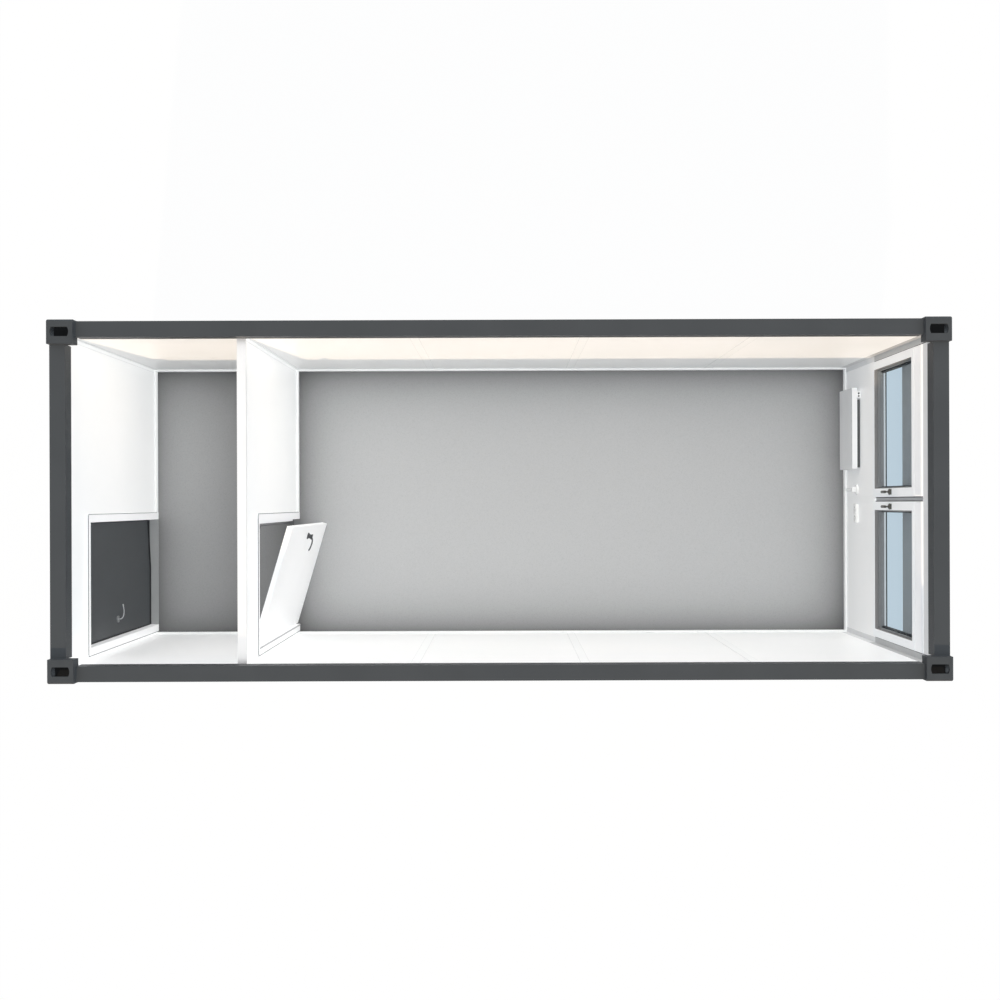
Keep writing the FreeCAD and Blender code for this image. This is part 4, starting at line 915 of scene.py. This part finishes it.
bead("sealant_lines", sealant_paths, pale_shade_and_sealant, "white_trim", 3.0 * MM, 0.06, uneven=0.0003)

# %% [markdown]
# ## Inside the castings
# The castings are hollow. A near black sheet on the floor of each cavity is painted shade.

# %% Painted shade in the cavities
CAVITY_SHADE_X, CAVITY_SHADE_Y, CAVITY_SHADE_Z = (2.880, 3.000), (1.084, 1.190), (2.7105, 2.7135)
cavity_shade_boxes = []
for sx in (1, -1):
    for sy in (1, -1):
        xs, ys = sorted(sx * x for x in CAVITY_SHADE_X), sorted(sy * y for y in CAVITY_SHADE_Y)
        cavity_shade_boxes.append(((xs[0], ys[0], CAVITY_SHADE_Z[0]), (xs[1], ys[1], CAVITY_SHADE_Z[1])))
fit_slabs("casting_wax", cavity_shade_black, cavity_shade_boxes, "casting_paint", 1 * MM)

# %% [markdown]
# ## Weld seams
# The rails and posts are welded to the corner castings all round. A seam is an uneven bead about 6 mm
# across, and it is painted with the rest.

# %% Weld seams
rail_low, rail_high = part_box("top_rails")
post_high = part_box("corner_posts")[1]
casting_x = rail_high.x + 0.006 - 0.178
casting_y = rail_high.y + 0.006 - 0.162
RAIL_WIDE = 0.106
BASE_SEAM, RAIL_SEAM_FOOT = (0.014, 0.116), 2.684
seams = []
for sx in (1, -1):
    for sy in (1, -1):
        inner_y, outer_y = sy * (rail_high.y - RAIL_WIDE), sy * rail_high.y
        inner_x, outer_x = sx * (rail_high.x - RAIL_WIDE), sx * rail_high.x
        cx, cy = sx * casting_x, sy * casting_y
        for near, far in (((cx, outer_y), (cx, inner_y)), ((outer_x, cy), (inner_x, cy))):
            seams.append([(*near, RAIL_SEAM_FOOT), (*near, rail_high.z), (*far, rail_high.z),
                          (*far, RAIL_SEAM_FOOT)])
        for level in (0.118, post_high.z):
            seams.append([(sx * (rail_high.x - 0.170), outer_y, level), (outer_x, outer_y, level),
                          (outer_x, sy * (rail_high.y - 0.108), level)])
        seams.append([(cx, outer_y, level) for level in BASE_SEAM])
        seams.append([(outer_x, cy, level) for level in BASE_SEAM])
bead("weld_seams", seams, casting_paint, "frame_paint", 6 * MM, 0.006, uneven=0.0012)

# %% [markdown]
# ## Heater
# The convector is a folded steel casing that hangs on two brackets. Its front is greyer than its top and a
# dark sheet fills the gap behind it, both painted shade. Warm air leaves by a row of short slots near the top
# of its front, which the copies tree sets down as grey marks of painted shade. A small valve with two
# openings sits behind its north end; its openings are black discs of painted shade.

# %% Heater casing and back
heater_low, heater_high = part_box("heater_casing")
front_x, back_x = heater_low.x, heater_high.x
cap_z = heater_high.z - 6 * MM
# The casing below the top is greyer, painted shade.
fit_slabs("heater_shell", heater_front_shade_grey, [(heater_low, (heater_high.x, heater_high.y, cap_z))], "heater_paint",
          3 * MM, "heater_casing")
cap_low = (heater_low.x, heater_low.y, cap_z)
fit_slabs("heater_cap", powder_light_grey, [(cap_low, heater_high)], "heater_paint", 2.5 * MM)
back_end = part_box("heater_brackets_and_knob")[1].x - 3 * MM
back = [((back_x, heater_low.y + 0.012, heater_low.z + 0.02),
         (back_end, heater_high.y - 0.095, heater_high.z - 0.012))]
fit_slabs("heater_back", shade_sheet_grey, back, "heater_paint", 2 * MM, "heater_brackets_and_knob")
valve_y = heater_high.y - 0.058
valve_top = heater_high.z + 0.002
valve_box = ((back_x, valve_y - 0.026, heater_high.z - 0.05), (back_end, valve_y + 0.026, valve_top))
fit_slabs("heater_valve", powder_light_grey, [valve_box], "heater_paint", 4 * MM)
port_x = (back_x + back_end) / 2
ports = [((port_x, valve_y + aside, valve_top), (0, 0, 1)) for aside in (0.012, -0.010)]
# The valve's openings are black discs of painted shade.
port = bmesh.new()
swept(port, [(0, 0, -0.001), (0, 0, 0.0006)], [0.0075, 0.0075], (0, 1, 0), 20)
port_part = from_bmesh("port", port, seal_black)
set_down("heater_valve_ports", port_part, ports, seal_black, "heater_paint")

# %% Slots in the heater's front
SLOT_PITCH = 64 * MM
slot_part = slabs("slot", socket_shade, [((-0.0003, -0.009, -0.002), (0.0004, 0.009, 0.002))])
slot_row = [((front_x - 0.0001, heater_low.y + 0.07, heater_high.z - 0.022), (0, 0, 1))]
slot_count = int((heater_high.y - heater_low.y - 0.1) / SLOT_PITCH) + 1
set_down("heater_slots", slot_part, slot_row, shade_mark_grey, "heater_paint", slot_count,
         (0.0, SLOT_PITCH, 0.0))

# %% [markdown]
# ## Sockets
# Two boxes sit on the wall beside the heater. The single one is round, with a plug housing in its middle,
# and is fed by a narrow cable duct from the skirting, with a grey line of painted shade down each side. The
# double one has two round wells, each with two contact holes; the grey rims of the wells and the black holes
# are painted shade. A grey line of painted shadow runs along the foot of each.

# %% Single socket
socket_foot, socket_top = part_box("wall_sockets")[0].z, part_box("wall_sockets")[1].z
outlet_x, wall_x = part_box("wall_sockets")[0].x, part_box("wall_sockets")[1].x
socket_mid = (socket_foot + socket_top) / 2
SINGLE_Y, DOUBLE_Y = 0.083, -0.113
sockets = bmesh.new()
swept(sockets, [(wall_x, SINGLE_Y, socket_mid), (wall_x - 0.012, SINGLE_Y, socket_mid),
                (wall_x - 0.016, SINGLE_Y, socket_mid)], [0.0395, 0.0395, 0.035], (0, 0, 1), 36)
slab(sockets, (outlet_x, SINGLE_Y - 0.019, socket_mid - 0.019), (wall_x - 0.014, SINGLE_Y + 0.019,
                                                                 socket_mid + 0.019), 4 * MM)

# %% Double socket, duct and shadow joints
DOUBLE_HALF, DOUBLE_DEEP = 0.0765, 0.022
slab(sockets, (wall_x - DOUBLE_DEEP, DOUBLE_Y - DOUBLE_HALF, socket_foot + 0.004),
     (wall_x, DOUBLE_Y + DOUBLE_HALF, socket_top), 4 * MM)
hand_over(from_bmesh("socket_housings", sockets, socket_white), "container", "socket_plastic", "wall_sockets")
wells, holes = [], []
for shift in (-0.0375, 0.0375):
    centre = Vector((wall_x - DOUBLE_DEEP - 0.0002, DOUBLE_Y + shift, socket_mid))
    wells.append([centre + Vector((0.0, 0.0205 * math.cos(turn), 0.0205 * math.sin(turn)))
                  for turn in (step * math.tau / 32 for step in range(32))])
    holes.append((centre - Vector((0.0, 0.0095, 0.0)), (-1, 0, 0)))
    holes.append((centre + Vector((0.0, 0.0095, 0.0)), (-1, 0, 0)))
bead("socket_rims", wells, socket_shade, "socket_plastic", 2.4 * MM, 0.003, closed=True)
# The contact holes are black squares of painted shade.
hole_part = slabs("hole", seal_black, [((-0.0028, -0.0028, -0.0003), (0.0028, 0.0028, 0.0004))], 0.0002)
set_down("socket_holes", hole_part, holes, seal_black, "socket_plastic")
round_foot = [Vector((wall_x - 0.003, SINGLE_Y + 0.041 * math.cos(turn), socket_mid + 0.041 * math.sin(turn)))
              for turn in (math.pi + step * math.pi / 24 for step in range(25))]
plate_foot = [(wall_x - 0.010, DOUBLE_Y - DOUBLE_HALF + 0.004, socket_foot + 0.0025),
              (wall_x - 0.010, DOUBLE_Y + DOUBLE_HALF - 0.004, socket_foot + 0.0025)]
bead("socket_joints", [round_foot, plate_foot], shadow_line_grey, "socket_plastic", 4 * MM, 0.004)
strip_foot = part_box("skirting_boards")[1].z
duct = [((wall_x - 0.012, SINGLE_Y - 0.010, strip_foot), (wall_x, SINGLE_Y + 0.010, socket_mid - 0.036))]
fit_slabs("cable_duct", trim_white, duct, "socket_plastic", 1.5 * MM)
# Grey lines of painted shade down both sides of the duct.
duct_lines = [[(wall_x - 0.001, SINGLE_Y + side * 0.011, strip_foot),
               (wall_x - 0.001, SINGLE_Y + side * 0.011, socket_mid - 0.040)] for side in (1, -1)]
bead("cable_duct_joints", duct_lines, shade_mark_grey, "socket_plastic", 2.5 * MM, 0.05)

# %% [markdown]
# ## Door handles
# Both levers are bent round bars that rise from a flat rose and bow away from the leaf. Each is drawn in
# the frame of its own door, where the hinge line is the origin, x leaves the outer side of the leaf and y
# runs along it, and is then turned to where the door stands.

# %% Levers and roses
LEVER_Z = 1.185
LEAF_THICK = 0.038
OUTER_HINGE, INNER_HINGE = (-3.023, -0.134, 0.0), (-1.728, -1.029, 0.0)
AJAR_DEGREES = -16.5
outer_place = Matrix.Translation(OUTER_HINGE) @ Matrix.Rotation(math.pi, 4, "Z")
inner_place = Matrix.Translation(INNER_HINGE) @ Matrix.Rotation(math.radians(AJAR_DEGREES), 4, "Z")


def lever(name, place, along, sides, thick, material):
    """A bowed bar on each given side of the leaf."""
    shape = bmesh.new()
    for side in sides:
        face = 0.0 if side > 0 else -LEAF_THICK
        bow = [(face + side * out, along - down, LEVER_Z) for out, down in
               ((0.001, 0.0), (0.018, 0.001), (0.034, 0.010), (0.045, 0.032), (0.048, 0.062), (0.045, 0.092),
                (0.039, 0.117))]
        path = smooth_path(bow, 6)
        radii = [thick * (1.25 - 0.25 * min(1.0, at / 10)) for at in range(len(path))]
        radii[-1] = thick * 0.6
        swept(shape, path, radii, (0, 0, 1), 14)
    shape.transform(place)
    return from_bmesh(name, shape, material)


def rose(name, place, along, sides, thick, material):
    """A stepped round plate on each given side of the leaf."""
    shape = bmesh.new()
    for side in sides:
        face = 0.0 if side > 0 else -LEAF_THICK
        steps = ((0.0, 0.026), (0.006, 0.026), (0.008, 0.024), (0.010, 0.019), (thick * 0.6, 0.016),
                 (thick * 0.9, 0.022), (thick, 0.021), (thick, 0.012))
        swept(shape, [(face + side * out, along, LEVER_Z) for out, radius in steps],
              [radius for out, radius in steps], (0, 0, 1), 32)
    shape.transform(place)
    return from_bmesh(name, shape, material)


hand_over(lever("outer_lever_bar", outer_place, 0.779, (-1,), 0.0052, brushed_steel), "outer_lever",
          "outer_lever_steel", "outer_door_lever")
hand_over(lever("inner_lever_bar", inner_place, 0.800, (1, -1), 0.0052, dark_lever), "inner_lever",
          "inner_lever_steel", "inner_door_lever")
hand_over(rose("inner_rose_plates", inner_place, 0.793, (1, -1), 0.038, dark_lever), "inner_door",
          "inner_lever_steel", "inner_door_roses")

# %% [markdown]
# ## Painted shadow round doors, joints along skirtings
# A thin dark line of painted shadow runs round each door frame where it meets the wall, and a grey joint runs
# along the top of the skirtings.

# %% Frame shadow lines and skirting joints
WALL_FACES = (-2.9125, -1.7105)
JOINT_FOOT, JAMB_Y, JAMB_TOP = 0.155, -1.047, 2.160
south, north, head = -1.0975, -0.0895, 2.2225
frame_paths = [[(x, south, JOINT_FOOT), (x, south, head), (x, north, head), (x, north, 0.212)]
               for x in WALL_FACES]
bead("door_frame_joints", frame_paths, shadow_line_grey, "door_frame_paint", 5 * MM, 0.02)
stop_path = [[(WALL_FACES[1], JAMB_Y, z) for z in (JOINT_FOOT, JAMB_TOP)]]
bead("inner_jamb_joint", stop_path, shade_and_jamb_line_grey, "door_frame_paint", 12 * MM, 0.2)
skirt_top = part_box("skirting_boards")[1].z + 0.0008
wall_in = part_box("floor_covering")[1].y
skirt_paths = []
for x0, x1 in ((-2.93, -1.788), (-1.728, 2.93)):
    for side in (1, -1):
        skirt_paths.append([(x0 + 0.005, side * (wall_in - 0.0006), skirt_top),
                            (x1 - 0.005, side * (wall_in - 0.0006), skirt_top)])
for x, south in ((-2.9294, -0.086), (-1.7886, -0.086), (-1.7274, -0.086), (2.9294, -1.1)):
    skirt_paths.append([(x, south, skirt_top), (x, 1.115, skirt_top)])
bead("skirting_joints", skirt_paths, pale_shade_and_sealant, "white_trim", 3 * MM, 0.2)

# %% [markdown]
# ## Screws
# Sheet metal screws hold the outer skins to the rails. One head is drawn and copied to each place.

# %% Screws
def screw_head(name, radius, height):
    """A low round head that narrows towards its top."""
    shape = bmesh.new()
    bmesh.ops.create_cone(shape, cap_ends=True, segments=10, radius1=radius, radius2=radius * 0.72,
                          depth=height, matrix=Matrix.Translation((0, 0, height / 2)))
    return from_bmesh(name, shape, brushed_steel)


big_head = screw_head("screw", 6.5 * MM, 3.2 * MM)
skirt_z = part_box("base_rail_north")[1].z + 0.03
wall_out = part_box("north_wall_panels")[1].y - 0.008
head_z = rail_low.z - 0.03
cladding_screws = []
for side in (1, -1):
    for step in range(-9, 10):
        for level in (skirt_z, head_z):
            cladding_screws.append(((step * 0.2895 + 0.012, side * wall_out, level), (0, side, 0)))
set_down("cladding_screws", big_head, cladding_screws, galvanised, "galvanised")
